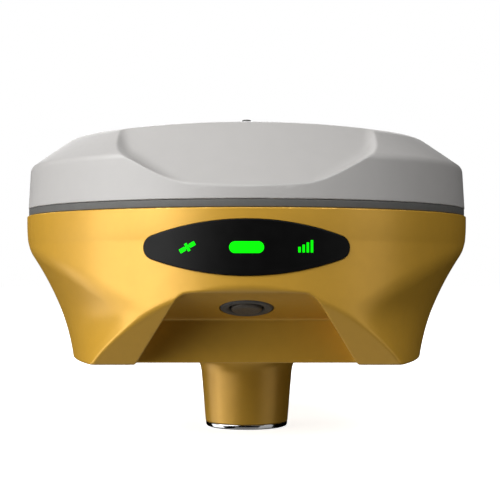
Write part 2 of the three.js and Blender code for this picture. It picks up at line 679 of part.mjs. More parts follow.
// ---- battery bay, door and its release ----
function makeBattery() {
  const inner = BAY_HALF_WIDTH - GAP;
  const outer = inner + TRAY_WALL - 0.1;
  const low = DOOR_Z - BAY_HEIGHT / 2 + 0.2;
  const high = DOOR_Z + BAY_HEIGHT / 2 - 0.2;
  const shell = box(
    -outer, outer, BAY_FRONT_Y - TRAY_WALL, TRAY_BACK_Y, low - TRAY_WALL, high + TRAY_WALL,
  );
  const hollow = box(-inner, inner, BAY_FRONT_Y, TRAY_BACK_Y + 7, low, high);
  addPart('battery_tray', solidOf(shell).subtract(solidOf(hollow)), TRAY_BLACK);
  const contacts = box(-12, 12, BAY_FRONT_Y + 0.2, BAY_FRONT_Y + 2.2, DOOR_Z - 3.5, DOOR_Z + 3.5);
  addPart('battery_contacts', contacts, BRASS);
  const pack = alongY(roundedRect(27.6, 6.7, 2.5), 24.9, 64.5, 4).translate(0, 0, DOOR_Z);
  addPart('battery_pack', pack, BATTERY_GREY);
}

// Everything that would strike the pocket's edge as the door swings.
function hingeSwing() {
  return solidOf(doorHinge(HINGE_SWING_RADIUS, DOOR_Z - DOOR_HEIGHT, DOOR_Z + DOOR_HEIGHT, 32));
}

function makeDoor() {
  const outline = roundedRect(DOOR_HALF_WIDTH, DOOR_HEIGHT / 2, DOOR_CORNER_RADIUS);
  const panel = wallPiece(outline, BACK, DOOR_INNER_RADIUS, DOOR_OUTER_RADIUS, DOOR_Z, 3);
  const low = DOOR_Z - KNUCKLE_LENGTH / 2;
  const high = DOOR_Z + KNUCKLE_LENGTH / 2;
  const armBox = solidOf(box(HINGE_X, -DOOR_HALF_WIDTH + 2, 60, 72, low, high));
  const armRing = ring(DOOR_INNER_RADIUS, DOOR_OUTER_RADIUS, low - 1, high + 1, SHELL_SEGMENTS);
  const arm = armBox.intersect(solidOf(armRing));
  const knuckle = solidOf(doorHinge(KNUCKLE_RADIUS, low, high));
  const bore = solidOf(doorHinge(HINGE_BORE_RADIUS, low - 1, high + 1));
  const door = panel.subtract(hingeSwing()).add(arm).add(knuckle).subtract(bore);
  addPart('battery_door', door, YELLOW);
  const pinLow = DOOR_Z - HINGE_PIN_HALF_LENGTH;
  const pinHigh = DOOR_Z + HINGE_PIN_HALF_LENGTH;
  addPart('door_hinge_pin', doorHinge(HINGE_PIN_RADIUS, pinLow, pinHigh), STEEL);
}

function makeDoorSeal() {
  const edge = roundedRect(DOOR_HALF_WIDTH - 0.3, DOOR_HEIGHT / 2 - 0.3, DOOR_CORNER_RADIUS);
  const hole = roundedRect(BAY_HALF_WIDTH + 0.5, BAY_HEIGHT / 2 + 0.5, 1.5);
  const plateSolid = wallPiece(edge, BACK, DOOR_INNER_RADIUS - 0.6, DOOR_INNER_RADIUS - 0.1, DOOR_Z, 3);
  const seal = plateSolid.subtract(wallPiece(hole, BACK, 70, 80, DOOR_Z, 3));
  addPart('door_seal', seal.subtract(hingeSwing()), RUBBER);
}

function makeDoorRelease() {
  const release = turned([
    [0, -6], [RELEASE_RADIUS, -6], [RELEASE_RADIUS, -0.6], [RELEASE_RADIUS - 0.4, -0.2], [0, -0.2],
  ], 20);
  addPart('door_release', releasePlace(release), BUTTON_GREY);
}

// ---- connectors and their caps ----
function makePort(name, x, pinCount) {
  const shell = turned([
    [PORT_BORE_RADIUS, PORT_BACK_Y], [PORT_RADIUS, PORT_BACK_Y], [PORT_RADIUS, PORT_FACE_Y + 1],
    [PORT_BORE_RADIUS, PORT_FACE_Y + 1], [PORT_BORE_RADIUS, PORT_BACK_Y],
  ], 24);
  addPart(name, shell.rotateX(-Math.PI / 2).translate(x, 0, PORT_Z), STEEL);
  let core = solidOf(disc(PORT_BORE_RADIUS - 0.2, PORT_BACK_Y + 0.1, 44.6, 20));
  for (let i = 0; i < pinCount; i += 1) {
    const angle = (i / pinCount) * Math.PI * 2 + Math.PI / 4;
    const x0 = PORT_PIN_RING_RADIUS * Math.cos(angle);
    const y0 = PORT_PIN_RING_RADIUS * Math.sin(angle);
    core = core.add(solidOf(disc(0.4, 44, 47.6, 6).translate(x0, y0, 0)));
  }
  const placed = geometryOf(core).rotateX(-Math.PI / 2).translate(x, 0, PORT_Z);
  addPart(`${name}_pins`, placed, TRAY_BLACK);

  const lid = solidOf(disc(5.3, PORT_FACE_Y + 1.2, PORT_FACE_Y + 3, 28));
  const plug = solidOf(disc(2.9, PORT_FACE_Y, PORT_FACE_Y + 1.4, 20));
  const cap = geometryOf(lid.add(plug)).rotateX(-Math.PI / 2).translate(x, 0, PORT_Z);
  addPart(`${name}_cap`, cap, RUBBER);
}

function makeConnectors() {
  makePort('power_port', -PORT_X, 4);
  makePort('data_port', PORT_X, 7);
  const barrel = turned([
    [RADIO_BORE_RADIUS, PORT_BACK_Y], [RADIO_RADIUS, PORT_BACK_Y], [RADIO_RADIUS, PORT_FACE_Y + 0.4],
    [4.7, PORT_FACE_Y + 0.4], [4.7, PORT_FACE_Y + 2], [4, PORT_FACE_Y + 2.4], [4, PORT_FACE_Y + 8.5],
    [3.5, PORT_FACE_Y + 9], [RADIO_BORE_RADIUS, PORT_FACE_Y + 9], [RADIO_BORE_RADIUS, PORT_BACK_Y],
  ], 20);
  addPart('radio_connector', barrel.rotateX(-Math.PI / 2).translate(0, 0, PORT_Z), BRASS);
  const core = turned([
    [0, PORT_BACK_Y + 0.2], [2.4, PORT_BACK_Y + 0.2], [2.4, PORT_FACE_Y + 4], [0.7, PORT_FACE_Y + 4],
    [0.7, PORT_FACE_Y + 7.5], [0, PORT_FACE_Y + 7.5],
  ], 20);
  addPart('radio_connector_core', core.rotateX(-Math.PI / 2).translate(0, 0, PORT_Z), CERAMIC);
}

// ---- leads inside the body ----
function tube(points, radius, steps) {
  const path = new THREE.CatmullRomCurve3(points.map(([x, y, z]) => new THREE.Vector3(x, y, z)));
  const section = new THREE.Shape();
  section.absarc(0, 0, radius, 0, Math.PI * 2);
  return new THREE.ExtrudeGeometry(section, { steps, extrudePath: path, curveSegments: 4 });
}

function makeLeads() {
  const antennaLead = [
    [0, -30.5, 73.5], [0, -35, 71.5], [2, -38, 62], [6, -36, 54], [5, -33, 46], [5, -32, 43.8],
  ];
  addPart('antenna_lead', tube(antennaLead, 0.9, 24), LEAD_BROWN);
  const strip = new THREE.Shape();
  strip.moveTo(-RIBBON_HALF_WIDTH, -RIBBON_HALF_THICKNESS);
  strip.lineTo(RIBBON_HALF_WIDTH, -RIBBON_HALF_THICKNESS);
  strip.lineTo(RIBBON_HALF_WIDTH, RIBBON_HALF_THICKNESS);
  strip.lineTo(-RIBBON_HALF_WIDTH, RIBBON_HALF_THICKNESS);
  strip.closePath();
  const route = [[-66.4, 60], [-60, 61], [-53, 57], [-46, 49], [-41, 44.5], [-35, 43.2]];
  const path = new THREE.CatmullRomCurve3(route.map(([y, z]) => new THREE.Vector3(RIBBON_X, y, z)));
  const ribbon = new THREE.ExtrudeGeometry(strip, { steps: 24, extrudePath: path });
  addPart('display_ribbon', ribbon, RIBBON);
}

makeLowerHousing();
makeTopCover();
makeNeck();
makeDisplay();
makePowerButton();
makeAntenna();
makeElectronics();
makeHousingScrews();
makeBattery();
makeDoor();
makeDoorSeal();
makeDoorRelease();
makeConnectors();
makeLeads();

export default group;
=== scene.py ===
"""Looks of the GNSS receiver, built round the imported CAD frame. Sizes are in mm until a mesh is made."""
import json
import math

import bmesh
import bpy
import numpy as np
from mathutils import Matrix, Vector


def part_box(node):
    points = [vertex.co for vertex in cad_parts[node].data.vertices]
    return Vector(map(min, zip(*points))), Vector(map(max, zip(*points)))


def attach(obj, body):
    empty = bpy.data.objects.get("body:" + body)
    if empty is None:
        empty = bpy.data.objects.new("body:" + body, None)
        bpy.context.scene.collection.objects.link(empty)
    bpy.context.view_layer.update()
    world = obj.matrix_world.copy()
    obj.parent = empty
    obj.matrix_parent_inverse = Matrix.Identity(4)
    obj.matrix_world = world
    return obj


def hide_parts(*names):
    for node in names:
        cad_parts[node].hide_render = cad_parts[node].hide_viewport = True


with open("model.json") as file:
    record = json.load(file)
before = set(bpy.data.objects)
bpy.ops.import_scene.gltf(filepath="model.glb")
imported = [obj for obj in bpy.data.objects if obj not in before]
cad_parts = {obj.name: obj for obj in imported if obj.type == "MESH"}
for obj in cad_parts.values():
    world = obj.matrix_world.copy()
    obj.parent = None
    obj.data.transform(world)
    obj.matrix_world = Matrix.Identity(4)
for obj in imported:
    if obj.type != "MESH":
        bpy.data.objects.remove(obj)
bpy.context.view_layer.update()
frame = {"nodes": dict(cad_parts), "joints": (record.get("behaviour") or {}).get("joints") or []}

MM = 0.001


def node_box(name):
    """Lowest and highest corner of a CAD node, in millimetres."""
    low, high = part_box(name)
    return np.array(low) / MM, np.array(high) / MM


# ---- driving dimensions, from the frame ----
BODY_HIGH = node_box("lower_housing")[1]
BODY_RADIUS = BODY_HIGH[0]
RIM_Z = BODY_HIGH[2]
COVER_LOW, COVER_HIGH = node_box("top_cover")
COVER_BOTTOM_Z = COVER_LOW[2]
COVER_TOP_Z = COVER_HIGH[2]
COVER_RADIUS = COVER_HIGH[0]
DISPLAY_LOW, DISPLAY_HIGH = node_box("display_window")
DISPLAY_Z = (DISPLAY_LOW[2] + DISPLAY_HIGH[2]) / 2
DISPLAY_HALF_WIDTH = DISPLAY_HIGH[0]
DISPLAY_HALF_HEIGHT = (DISPLAY_HIGH[2] - DISPLAY_LOW[2]) / 2
DOOR_LOW, DOOR_HIGH = node_box("battery_door")
DOOR_Z = (DOOR_LOW[2] + DOOR_HIGH[2]) / 2
DOOR_HALF_HEIGHT = (DOOR_HIGH[2] - DOOR_LOW[2]) / 2
DOOR_HALF_WIDTH = DOOR_HIGH[0]
RING_HIGH = node_box("neck_ring")[1]
JOINTS = {joint["name"]: joint for joint in frame["joints"]}
HINGE_X, HINGE_Y = np.array(JOINTS["battery_door_hinge"]["pos_m"][:2]) / MM

# ---- driving dimensions of the forms ----
BASE_Z = 25.6
WALL = 3.0
COVER_WALL = 2.5
UNDERCUT_Y = 57.7
UNDERCUT_SLOPE = 1.31
NOTCH_WALL_Y = 48.5
NOTCH_LIP = np.array([19.3, 74.8, 48.25])
NOTCH_CEILING_SLOPE = 0.335
NOTCH_TOP_HALF_WIDTH = 29.2
NOTCH_BASE_HALF_WIDTH = 36.0
COVER_DOME = 648.0
CONE_EDGE_RADIUS = 70.96
CONE_EDGE_Z = 92.63
CONE_SLOPE = 0.706
SCOOP_EDGE_RADIUS = 75.4
SCOOP_EDGE_Z = 80.0
SCOOP_SHIFT = 60.0
SCOOP_SLOPE = 0.857
SCOOP_HALF_WIDTH = 41.3
NECK_FOOT_RADIUS = 14.5
NECK_BORE_RADIUS = 9.8
NECK_BORE_TOP = 25.0
SEAL_INNER_RADIUS = 73.7
DISPLAY_TIP_RADIUS = 3.7
LIGHT_INNER_RADIUS = 73.3
SYMBOL_X = 17.4
BUTTON_Y = -59.3
BEZEL_RADIUS = 8.15
BEZEL_BORE_RADIUS = 5.2
BUTTON_RADIUS = 4.7
PORT_Z = 32.9
PORT_X = 17.0
PORT_BACK_Y = 40.4
HINGE_BORE_RADIUS = 0.68
HINGE_PIN_RADIUS = 0.6
SCREW_PLACES = [(48.0, 24.0), (-48.0, 24.0), (-48.0, -24.0), (48.0, -24.0)]
BOARD_SCREW_PLACES = [(37.5, 37.5), (-37.5, 37.5), (-37.5, -37.5), (37.5, -37.5)]

# ---- fineness of the skins ----
GRID_REACH = 77
GRID_STEP = 1.35
FINE_EDGE = 0.3
COARSE_EDGE = 1.6
SKIN_DEPTH = 1.2


# ---- implicit forms: each field is below zero inside and above zero outside ----
def smooth_max(a, b, width):
    share = np.clip(0.5 + 0.5 * (a - b) / width, 0, 1)
    return b * (1 - share) + a * share + width * share * (1 - share)


def smooth_min(a, b, width):
    return -smooth_max(-a, -b, width)


def plane_field(p, point, normal):
    normal = np.array(normal, float)
    return (p - np.array(point, float)) @ (normal / np.linalg.norm(normal))


def folded(p):
    """The same point with x and y made positive, as the form is the same in all four quarters."""
    return np.stack([np.abs(p[:, 0]), np.abs(p[:, 1]), p[:, 2]], 1)


def body_radius_at(z):
    low = np.clip((71 - z) / 8, 0, 1)
    taper = np.clip((48 - z) / 22, 0, 1.2)
    return BODY_RADIUS - 0.5 * low**2 - 0.5 * taper**2


def facet_field(q):
    """The hollow side facet: circles about a centre that moves away as the body narrows."""
    z = q[:, 2]
    bend = np.clip((z - 4.4) / 100, -0.9, 0.9)
    reach = 157.4 - 100 * np.sqrt(1 - bend**2)
    centre = 26 + 64 * np.clip((46 - z) / 20.4, 0, 1) ** 2.3
    return (np.hypot(q[:, 0] + centre, q[:, 1]) - reach - centre) * 0.85


def notch_ceiling_z(y):
    return NOTCH_LIP[2] - (NOTCH_LIP[1] - abs(y)) * NOTCH_CEILING_SLOPE


def notch_field(q):
    corner = np.array([NOTCH_TOP_HALF_WIDTH, NOTCH_WALL_Y, notch_ceiling_z(NOTCH_WALL_Y)])
    foot = np.array([NOTCH_BASE_HALF_WIDTH, NOTCH_WALL_Y, BASE_Z])
    flank = np.cross(corner - NOTCH_LIP, foot - corner)
    flank *= np.sign(flank[0])
    ceiling = plane_field(q, corner, (0, -NOTCH_CEILING_SLOPE, 1))
    wall = plane_field(q, corner, (0, -1, 0))
    side = plane_field(q, corner, flank)
    return smooth_max(smooth_max(ceiling, wall, 0.9), side, 2.6)


def undercut_field(q):
    """Above zero below the slanted cut under the front and the back."""
    return plane_field(q, (0, UNDERCUT_Y, BASE_Z), (0, UNDERCUT_SLOPE, -1))


def body_field(p):
    q = folded(p)
    wall = np.hypot(q[:, 0], q[:, 1]) - body_radius_at(q[:, 2])
    form = smooth_max(wall, facet_field(q), 1.8)
    form = smooth_max(form, undercut_field(q), 0.7)
    form = smooth_max(form, BASE_Z - q[:, 2], 0.8)
    return smooth_max(form, -notch_field(q), 0.6)


def neck_field(p):
    radius = np.hypot(p[:, 0], p[:, 1])
    sleeve = NECK_FOOT_RADIUS + (p[:, 2] - 2.5) * 0.085
    return smooth_max(radius - sleeve, p[:, 2] - BASE_Z - 1.5, 0.3)


def housing_field(p):
    z = p[:, 2]
    outside = smooth_min(body_field(p), neck_field(p), 6.5)
    outside = smooth_max(outside, RING_HIGH[2] + 0.1 - z, 0.3)
    room = smooth_max(body_field(p) + WALL, BASE_Z + WALL - z, 1.0)
    bore = np.maximum(np.hypot(p[:, 0], p[:, 1]) - NECK_BORE_RADIUS, z - NECK_BORE_TOP)
    shell = smooth_max(outside, -room, 0.3)
    shell = smooth_max(shell, -bore, 0.3)
    return smooth_max(shell, z - RIM_Z, 0.35)


def cover_outside_field(p):
    q = folded(p)
    z = q[:, 2]
    radius = np.hypot(q[:, 0], q[:, 1])
    wall = radius - COVER_RADIUS + (z - COVER_BOTTOM_Z) * 0.055
    cone = (z - CONE_EDGE_Z + (radius - CONE_EDGE_RADIUS) * CONE_SLOPE) * 0.817
    dome = z - COVER_TOP_Z + radius**2 / COVER_DOME
    form = smooth_max(smooth_max(wall, cone, 1.2), dome, 0.8)
    reach = np.hypot(q[:, 0], q[:, 1] + SCOOP_SHIFT) - SCOOP_SHIFT
    floor = (z - SCOOP_EDGE_Z + (reach - SCOOP_EDGE_RADIUS) * SCOOP_SLOPE) * 0.76
    flank = -plane_field(q, (32.3, 55.7, 89.3), (0.4, -0.2, -0.894))
    scoop = smooth_min(floor, flank, 2.0)
    side = -plane_field(q, (SCOOP_HALF_WIDTH, 46, 101), (1, -0.56, -0.98))
    scoop = smooth_min(scoop, side, 2.0)
    return smooth_max(form, scoop, 0.5)


def cover_field(p):
    z = p[:, 2]
    outside = cover_outside_field(p)
    shell = smooth_max(outside, -(outside + COVER_WALL), 0.3)
    return smooth_max(shell, COVER_BOTTOM_Z - z, 0.35)


def wall_field(radius):
    return lambda p: np.hypot(p[:, 0], p[:, 1]) - radius


def gradient(field, p, step=0.02):
    parts = []
    for axis in np.eye(3) * step:
        parts.append(field(p + axis) - field(p - axis))
    return np.stack(parts, 1) / (2 * step)


def settled(field, p, rounds=5):
    """Points moved along the field's slope until they lie on its surface."""
    for _ in range(rounds):
        slope = gradient(field, p)
        size = np.maximum((slope**2).sum(1), 0.2)
        p = p - slope * (np.clip(field(p), -1.5, 1.5) / size)[:, None]
    return p


def unit(v):
    return v / np.maximum(np.linalg.norm(v, axis=1, keepdims=True), 1e-9)


# ---- meshes from implicit forms ----
def beside(size, axis, first):
    """The slices of a cell grid that touch an edge along the axis. first picks one of four sides."""
    picks = []
    others = iter(first)
    for direction in range(3):
        if direction == axis:
            picks.append(slice(None))
        else:
            picks.append(slice(0, size[direction] - 1) if next(others) else slice(1, size[direction]))
    return tuple(picks)


def skinned(field, low, high, step):
    """A closed triangle skin of a field: one point in each grid cell that the surface crosses."""
    axes = [np.arange(a - 0.5 * step, b + 1.5 * step, step) for a, b in zip(low, high)]
    size = [len(axis) for axis in axes]
    grid = np.stack(np.meshgrid(*axes, indexing="ij"), 3)
    value = field(grid.reshape(-1, 3)).reshape(size)
    inside = value < 0
    cells = [count - 1 for count in size]
    total = np.zeros((*cells, 3))
    hits = np.zeros(cells, int)
    crossings = []
    for axis in range(3):
        near = tuple(slice(0, -1) if d == axis else slice(None) for d in range(3))
        far = tuple(slice(1, None) if d == axis else slice(None) for d in range(3))
        crossed = inside[near] != inside[far]
        share = value[near] / np.where(crossed, value[near] - value[far], 1)
        where = grid[near] + (grid[far] - grid[near]) * share[..., None]
        inner = tuple(slice(None) if d == axis else slice(1, -1) for d in range(3))
        crossed, where = crossed[inner], where[inner]
        crossings.append((crossed, inside[near][inner]))
        for first in ((0, 0), (0, 1), (1, 0), (1, 1)):
            to = beside(cells, axis, first)
            hits[to] += crossed
            total[to] += np.where(crossed[..., None], where, 0)
    number = np.cumsum(hits.ravel() > 0).reshape(cells) - 1
    points = (total / np.maximum(hits, 1)[..., None])[hits > 0]
    faces = []
    for axis, (crossed, starts_inside) in enumerate(crossings):
        corners = [number[beside(cells, axis, first)] for first in ((1, 1), (0, 1), (0, 0), (1, 0))]
        quads = np.stack([corner[crossed] for corner in corners], 1)
        flip = starts_inside[crossed] == (axis == 1)
        quads[flip] = quads[flip][:, ::-1]
        faces.append(quads)
    quads = np.concatenate(faces)
    return points, np.concatenate([quads[:, [0, 1, 2]], quads[:, [0, 2, 3]]])


def split_marked(points, triangles, marked):
    """Splits each triangle at the middles of its marked edges. marked is an array of edge keys."""
    count = len(points)
    ends = triangles[:, [[0, 1], [1, 2], [2, 0]]]
    key = ends.min(2) * count + ends.max(2)
    chosen = np.isin(key, marked)
    keys = np.unique(key[chosen])
    middle_points = (points[keys // count] + points[keys % count]) / 2
    middle = np.where(chosen, count + np.searchsorted(keys, key), -1)
    result = [triangles[~chosen.any(1)]]
    for pattern in range(1, 8):
        bits = [(pattern >> side) & 1 for side in range(3)]
        rows = np.all(chosen == np.array(bits, bool), axis=1)
        t, m = triangles[rows], middle[rows]
        turn = {1: 0, 2: 1, 4: 2, 3: 0, 6: 1, 5: 2, 7: 0}[pattern]
        t, m = np.roll(t, -turn, 1), np.roll(m, -turn, 1)
        a, b, c = t.T
        ab, bc, ca = m.T
        if sum(bits) == 1:
            pieces = [(a, ab, c), (ab, b, c)]
        elif sum(bits) == 2:
            pieces = [(ab, b, bc), (a, ab, bc), (a, bc, c)]
        else:
            pieces = [(a, ab, ca), (ab, b, bc), (ca, bc, c), (ab, bc, ca)]
        result += [np.stack(piece, 1) for piece in pieces]
    return np.concatenate([points, middle_points]), np.concatenate(result), count


def refined(field, points, triangles, shortest, rounds=4, bend=9.0):
    """Splits edges whose ends face different ways, so that fillets and creases come out round."""
    points = settled(field, points)
    limit = math.cos(math.radians(bend))
    for _ in range(rounds):
        facing = unit(gradient(field, points))
        ends = np.sort(triangles[:, [[0, 1], [1, 2], [2, 0]]].reshape(-1, 2), 1)
        a, b = divmod(np.unique(ends[:, 0] * len(points) + ends[:, 1]), len(points))
        turned = (facing[a] * facing[b]).sum(1) < limit
        length = np.linalg.norm(points[a] - points[b], axis=1)
        chosen = turned & (length > 2 * shortest((points[a] + points[b]) / 2))
        keys = a[chosen] * len(points) + b[chosen]
        points, triangles, first_new = split_marked(points, triangles, keys)
        points[first_new:] = settled(field, points[first_new:])
    return points, triangles


# ---- objects ----
def new_object(name, points, faces):
    mesh = bpy.data.meshes.new(name)
    mesh.from_pydata((np.asarray(points, float) * MM).tolist(), [], [list(map(int, f)) for f in faces])
    mesh.validate()
    mesh.update()
    thing = bpy.data.objects.new(name, mesh)
    bpy.context.scene.collection.objects.link(thing)
    return thing


def face_outwards(thing):
    work = bmesh.new()
    work.from_mesh(thing.data)
    bmesh.ops.recalc_face_normals(work, faces=work.faces)
    if work.calc_volume(signed=True) < 0:
        bmesh.ops.reverse_faces(work, faces=work.faces)
    work.to_mesh(thing.data)
    work.free()


def smooth(thing, angle=32.0):
    thing.data.polygons.foreach_set("use_smooth", [True] * len(thing.data.polygons))
    thing.data.set_sharp_from_angle(angle=math.radians(angle))


def follow_field(thing, field, closeness=0.93):
    """Gives the faces that lie on a field's surface the field's own normals, for clean reflections."""
    mesh = thing.data
    corner = np.zeros(len(mesh.loops) * 3, np.float32)
    mesh.corner_normals.foreach_get("vector", corner)
    corner = corner.reshape(-1, 3).astype(float)
    where = np.zeros(len(mesh.vertices) * 3, np.float32)
    mesh.vertices.foreach_get("co", where)
    exact = unit(gradient(field, where.reshape(-1, 3).astype(float) / MM))
    owner = np.zeros(len(mesh.loops), np.int32)
    mesh.loops.foreach_get("vertex_index", owner)
    faces = np.zeros(len(mesh.polygons) * 3, np.float32)
    mesh.polygons.foreach_get("normal", faces)
    sizes = np.zeros(len(mesh.polygons), np.int32)
    mesh.polygons.foreach_get("loop_total", sizes)
    flat = np.repeat(faces.reshape(-1, 3), sizes, axis=0)
    wanted = exact[owner]
    close = (flat * wanted).sum(1) > closeness
    corner[close] = wanted[close]
    mesh.normals_split_custom_set(corner.tolist())


def finish_piece(thing, look, body, slot, *nodes):
    thing.data.materials.clear()
    thing.data.materials.append(look)
    if nodes:
        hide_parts(*nodes)
    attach(thing, body)
    return thing


def with_booleans(target, others, operation):
    for other in others:
        change = target.modifiers.new("combine", "BOOLEAN")
        change.operation = operation
        change.solver = "MANIFOLD"
        change.object = other
    graph = bpy.context.evaluated_depsgraph_get()
    result = bpy.data.meshes.new_from_object(target.evaluated_get(graph))
    target.modifiers.clear()
    target.data = result
    for other in others:
        bpy.data.objects.remove(other)


def combine(target, others, operation):
    """Joins the others to the target, or cuts them out of it."""
    if len(others) > 1:
        with_booleans(others[0], others[1:], "UNION")
    with_booleans(target, others[:1], operation)


# ---- turned and plate forms ----
def rounded_profile(points, radius, steps=4):
    """A profile with each inner corner turned into a small arc."""
    points = [np.array(point, float) for point in points]
    result = [points[0]]
    for before, corner, after in zip(points, points[1:], points[2:]):
        to_before = before - corner
        to_after = after - corner
        room = min(radius, 0.45 * np.linalg.norm(to_before), 0.45 * np.linalg.norm(to_after))
        start = corner + to_before / np.linalg.norm(to_before) * room
        end = corner + to_after / np.linalg.norm(to_after) * room
        for step in range(steps + 1):
            share = step / steps
            result.append((1 - share) ** 2 * start + 2 * share * (1 - share) * corner + share**2 * end)
    result.append(points[-1])
    return result


def turned(name, profile, segments=96):
    """A turned solid about Z. The profile starts and ends on the axis, or is closed."""
    profile = [tuple(point) for point in profile]
    closed = profile[0][0] > 1e-6
    if closed and np.allclose(profile[0], profile[-1]):
        profile = profile[:-1]
    turn = [(math.cos(a), math.sin(a)) for a in np.arange(segments) * 2 * math.pi / segments]
    points, rows, faces = [], [], []
    for radius, z in profile:
        if radius < 1e-6:
            rows.append([len(points)] * segments)
            points.append((0, 0, z))
        else:
            rows.append(list(range(len(points), len(points) + segments)))
            points += [(radius * c, radius * s, z) for c, s in turn]
    pairs = list(zip(rows, rows[1:]))
    if closed:
        pairs.append((rows[-1], rows[0]))
    for low, high in pairs:
        for i in range(segments):
            j = (i + 1) % segments
            face = list(dict.fromkeys([low[i], low[j], high[j], high[i]]))
            if len(face) > 2:
                faces.append(face)
    thing = new_object(name, points, faces)
    face_outwards(thing)
    return thing


def cylinder(radius, low, high, x=0.0, y=0.0, segments=32):
    thing = turned("cutter", [(0, low), (radius, low), (radius, high), (0, high)], segments)
    moved(thing, Matrix.Translation(Vector((x, y, 0)) * MM))
    return thing


def block(low, high):
    x0, y0, z0 = low
    x1, y1, z1 = high
    points = [(x, y, z) for x in (x0, x1) for y in (y0, y1) for z in (z0, z1)]
    faces = [(0, 1, 3, 2), (4, 6, 7, 5), (0, 4, 5, 1), (2, 3, 7, 6), (0, 2, 6, 4), (1, 5, 7, 3)]
    thing = new_object("block", points, faces)
    face_outwards(thing)
    return thing


def moved(thing, matrix):
    thing.data.transform(matrix)
    thing.data.update()
    return thing


def along(axis, place):
    """Turns +Z to the axis and moves the origin to the place, given in millimetres."""
    turn = Vector((0, 0, 1)).rotation_difference(Vector(axis)).to_matrix().to_4x4()
    return Matrix.Translation(Vector(place) * MM) @ turn


# ---- plates that lie on the round wall ----
def oval_height(grow):
    """Half height of the status window at a given x: two long arcs and small round tips."""
    height = DISPLAY_HALF_HEIGHT + grow
    tip = DISPLAY_TIP_RADIUS + grow
    tip_x = DISPLAY_HALF_WIDTH + grow - tip
    sweep = (tip_x**2 + height**2 - tip**2) / (2 * (height - tip))
    join_x = tip_x * sweep / (sweep - tip)

    def half_height(x):
        long_arc = np.sqrt(np.maximum(sweep**2 - x**2, 0)) - (sweep - height)
        tip_arc = np.sqrt(np.maximum(tip**2 - (np.abs(x) - tip_x) ** 2, 0))
        return np.where(np.abs(x) < join_x, long_arc, tip_arc)

    return half_height, DISPLAY_HALF_WIDTH + grow


def rectangle_height(half_width, half_height, corner, grow):
    width, height, radius = half_width + grow, half_height + grow, max(corner + grow, 0.02)

    def half(x):
        over = np.clip(np.abs(x) - (width - radius), 0, radius)
        return height - radius + np.sqrt(np.maximum(radius**2 - over**2, 0))

    return half, width


def wall_plate(name, outline, side, inner, outer, z, bevel, columns=72, rows=14):
    """A plate bent round the wall. outline(grow) gives its half height at x and its half width."""
    layers = [
        (-bevel, outer), (-bevel * 0.3, outer - bevel * 0.3), (0, outer - bevel), (0, inner),
    ]
    share = np.sin(np.linspace(-math.pi / 2, math.pi / 2, columns + 1))
    up = np.sin(np.linspace(-math.pi / 2, math.pi / 2, rows + 1))

    def point(x, level, radius):
        return (x, side * math.sqrt(radius**2 - x**2), z + level)

    def sheet(grow, radius):
        half, width = outline(grow)
        grid = []
        for x in share * width:
            height = float(half(np.array(x)))
            grid.append([point(x, height * level, radius) for level in up])
        return grid

    def border(size):
        grid = np.arange((columns + 1) * (rows + 1)).reshape(columns + 1, rows + 1)
        loop = [*grid[:, 0], *grid[-1, 1:], *grid[-2::-1, -1], *grid[0, -2:0:-1]]
        return [int(i) + size for i in loop]

    front = sheet(*layers[0])
    back = sheet(*layers[-1])
    flat = len(front) * len(front[0])
    points = [p for column in front for p in column] + [p for column in back for p in column]
    faces = []
    for start in (0, flat):
        for i in range(columns):
            for j in range(rows):
                a = start + i * (rows + 1) + j
                faces.append((a, a + rows + 1, a + rows + 2, a + 1))
    loops = [border(0)]
    for grow, radius in layers[1:-1]:
        ring = sheet(grow, radius)
        flat_ring_points = [p for column in ring for p in column]
        loop = [flat_ring_points[i] for i in border(0)]
        loops.append(list(range(len(points), len(points) + len(loop))))
        points += loop
    loops.append(border(flat))
    for a, b in zip(loops, loops[1:]):
        for i in range(len(a)):
            j = (i + 1) % len(a)
            faces.append((a[i], a[j], b[j], b[i]))
    thing = new_object(name, points, faces)
    work = bmesh.new()
    work.from_mesh(thing.data)
    bmesh.ops.remove_doubles(work, verts=work.verts, dist=1e-7)
    bmesh.ops.dissolve_degenerate(work, edges=work.edges, dist=1e-8)
    work.to_mesh(thing.data)
    work.free()
    face_outwards(thing)
    return thing


def wall_stamp(name, outline, side, inner, outer, bevel=0.05):
    """A small flat-sided shape pushed through the wall. outline lists x and z in order."""
    outline = np.array(outline, float)
    centre = outline.mean(0)
    levels = [(outer, 1 - bevel), (outer - bevel, 1.0), (inner, 1.0)]
    points = []
    for radius, share in levels:
        for x, z in centre + (outline - centre) * share:
            points.append((x, side * math.sqrt(radius**2 - x**2), z))
    count = len(outline)
    faces = [list(range(count)), list(range(2 * count, 3 * count))[::-1]]
    for level in range(2):
        for i in range(count):
            j = (i + 1) % count
            a, b = level * count, (level + 1) * count
            faces.append((a + i, a + j, b + j, b + i))
    thing = new_object(name, points, faces)
    face_outwards(thing)
    return thing


# ---- materials ----
def linear(colour):
    """Linear colour from a #rrggbb value."""
    parts = [int(colour[i:i + 2], 16) / 255 for i in (1, 3, 5)]
    return tuple(((c + 0.055) / 1.055) ** 2.4 if c > 0.04045 else c / 12.92 for c in parts)


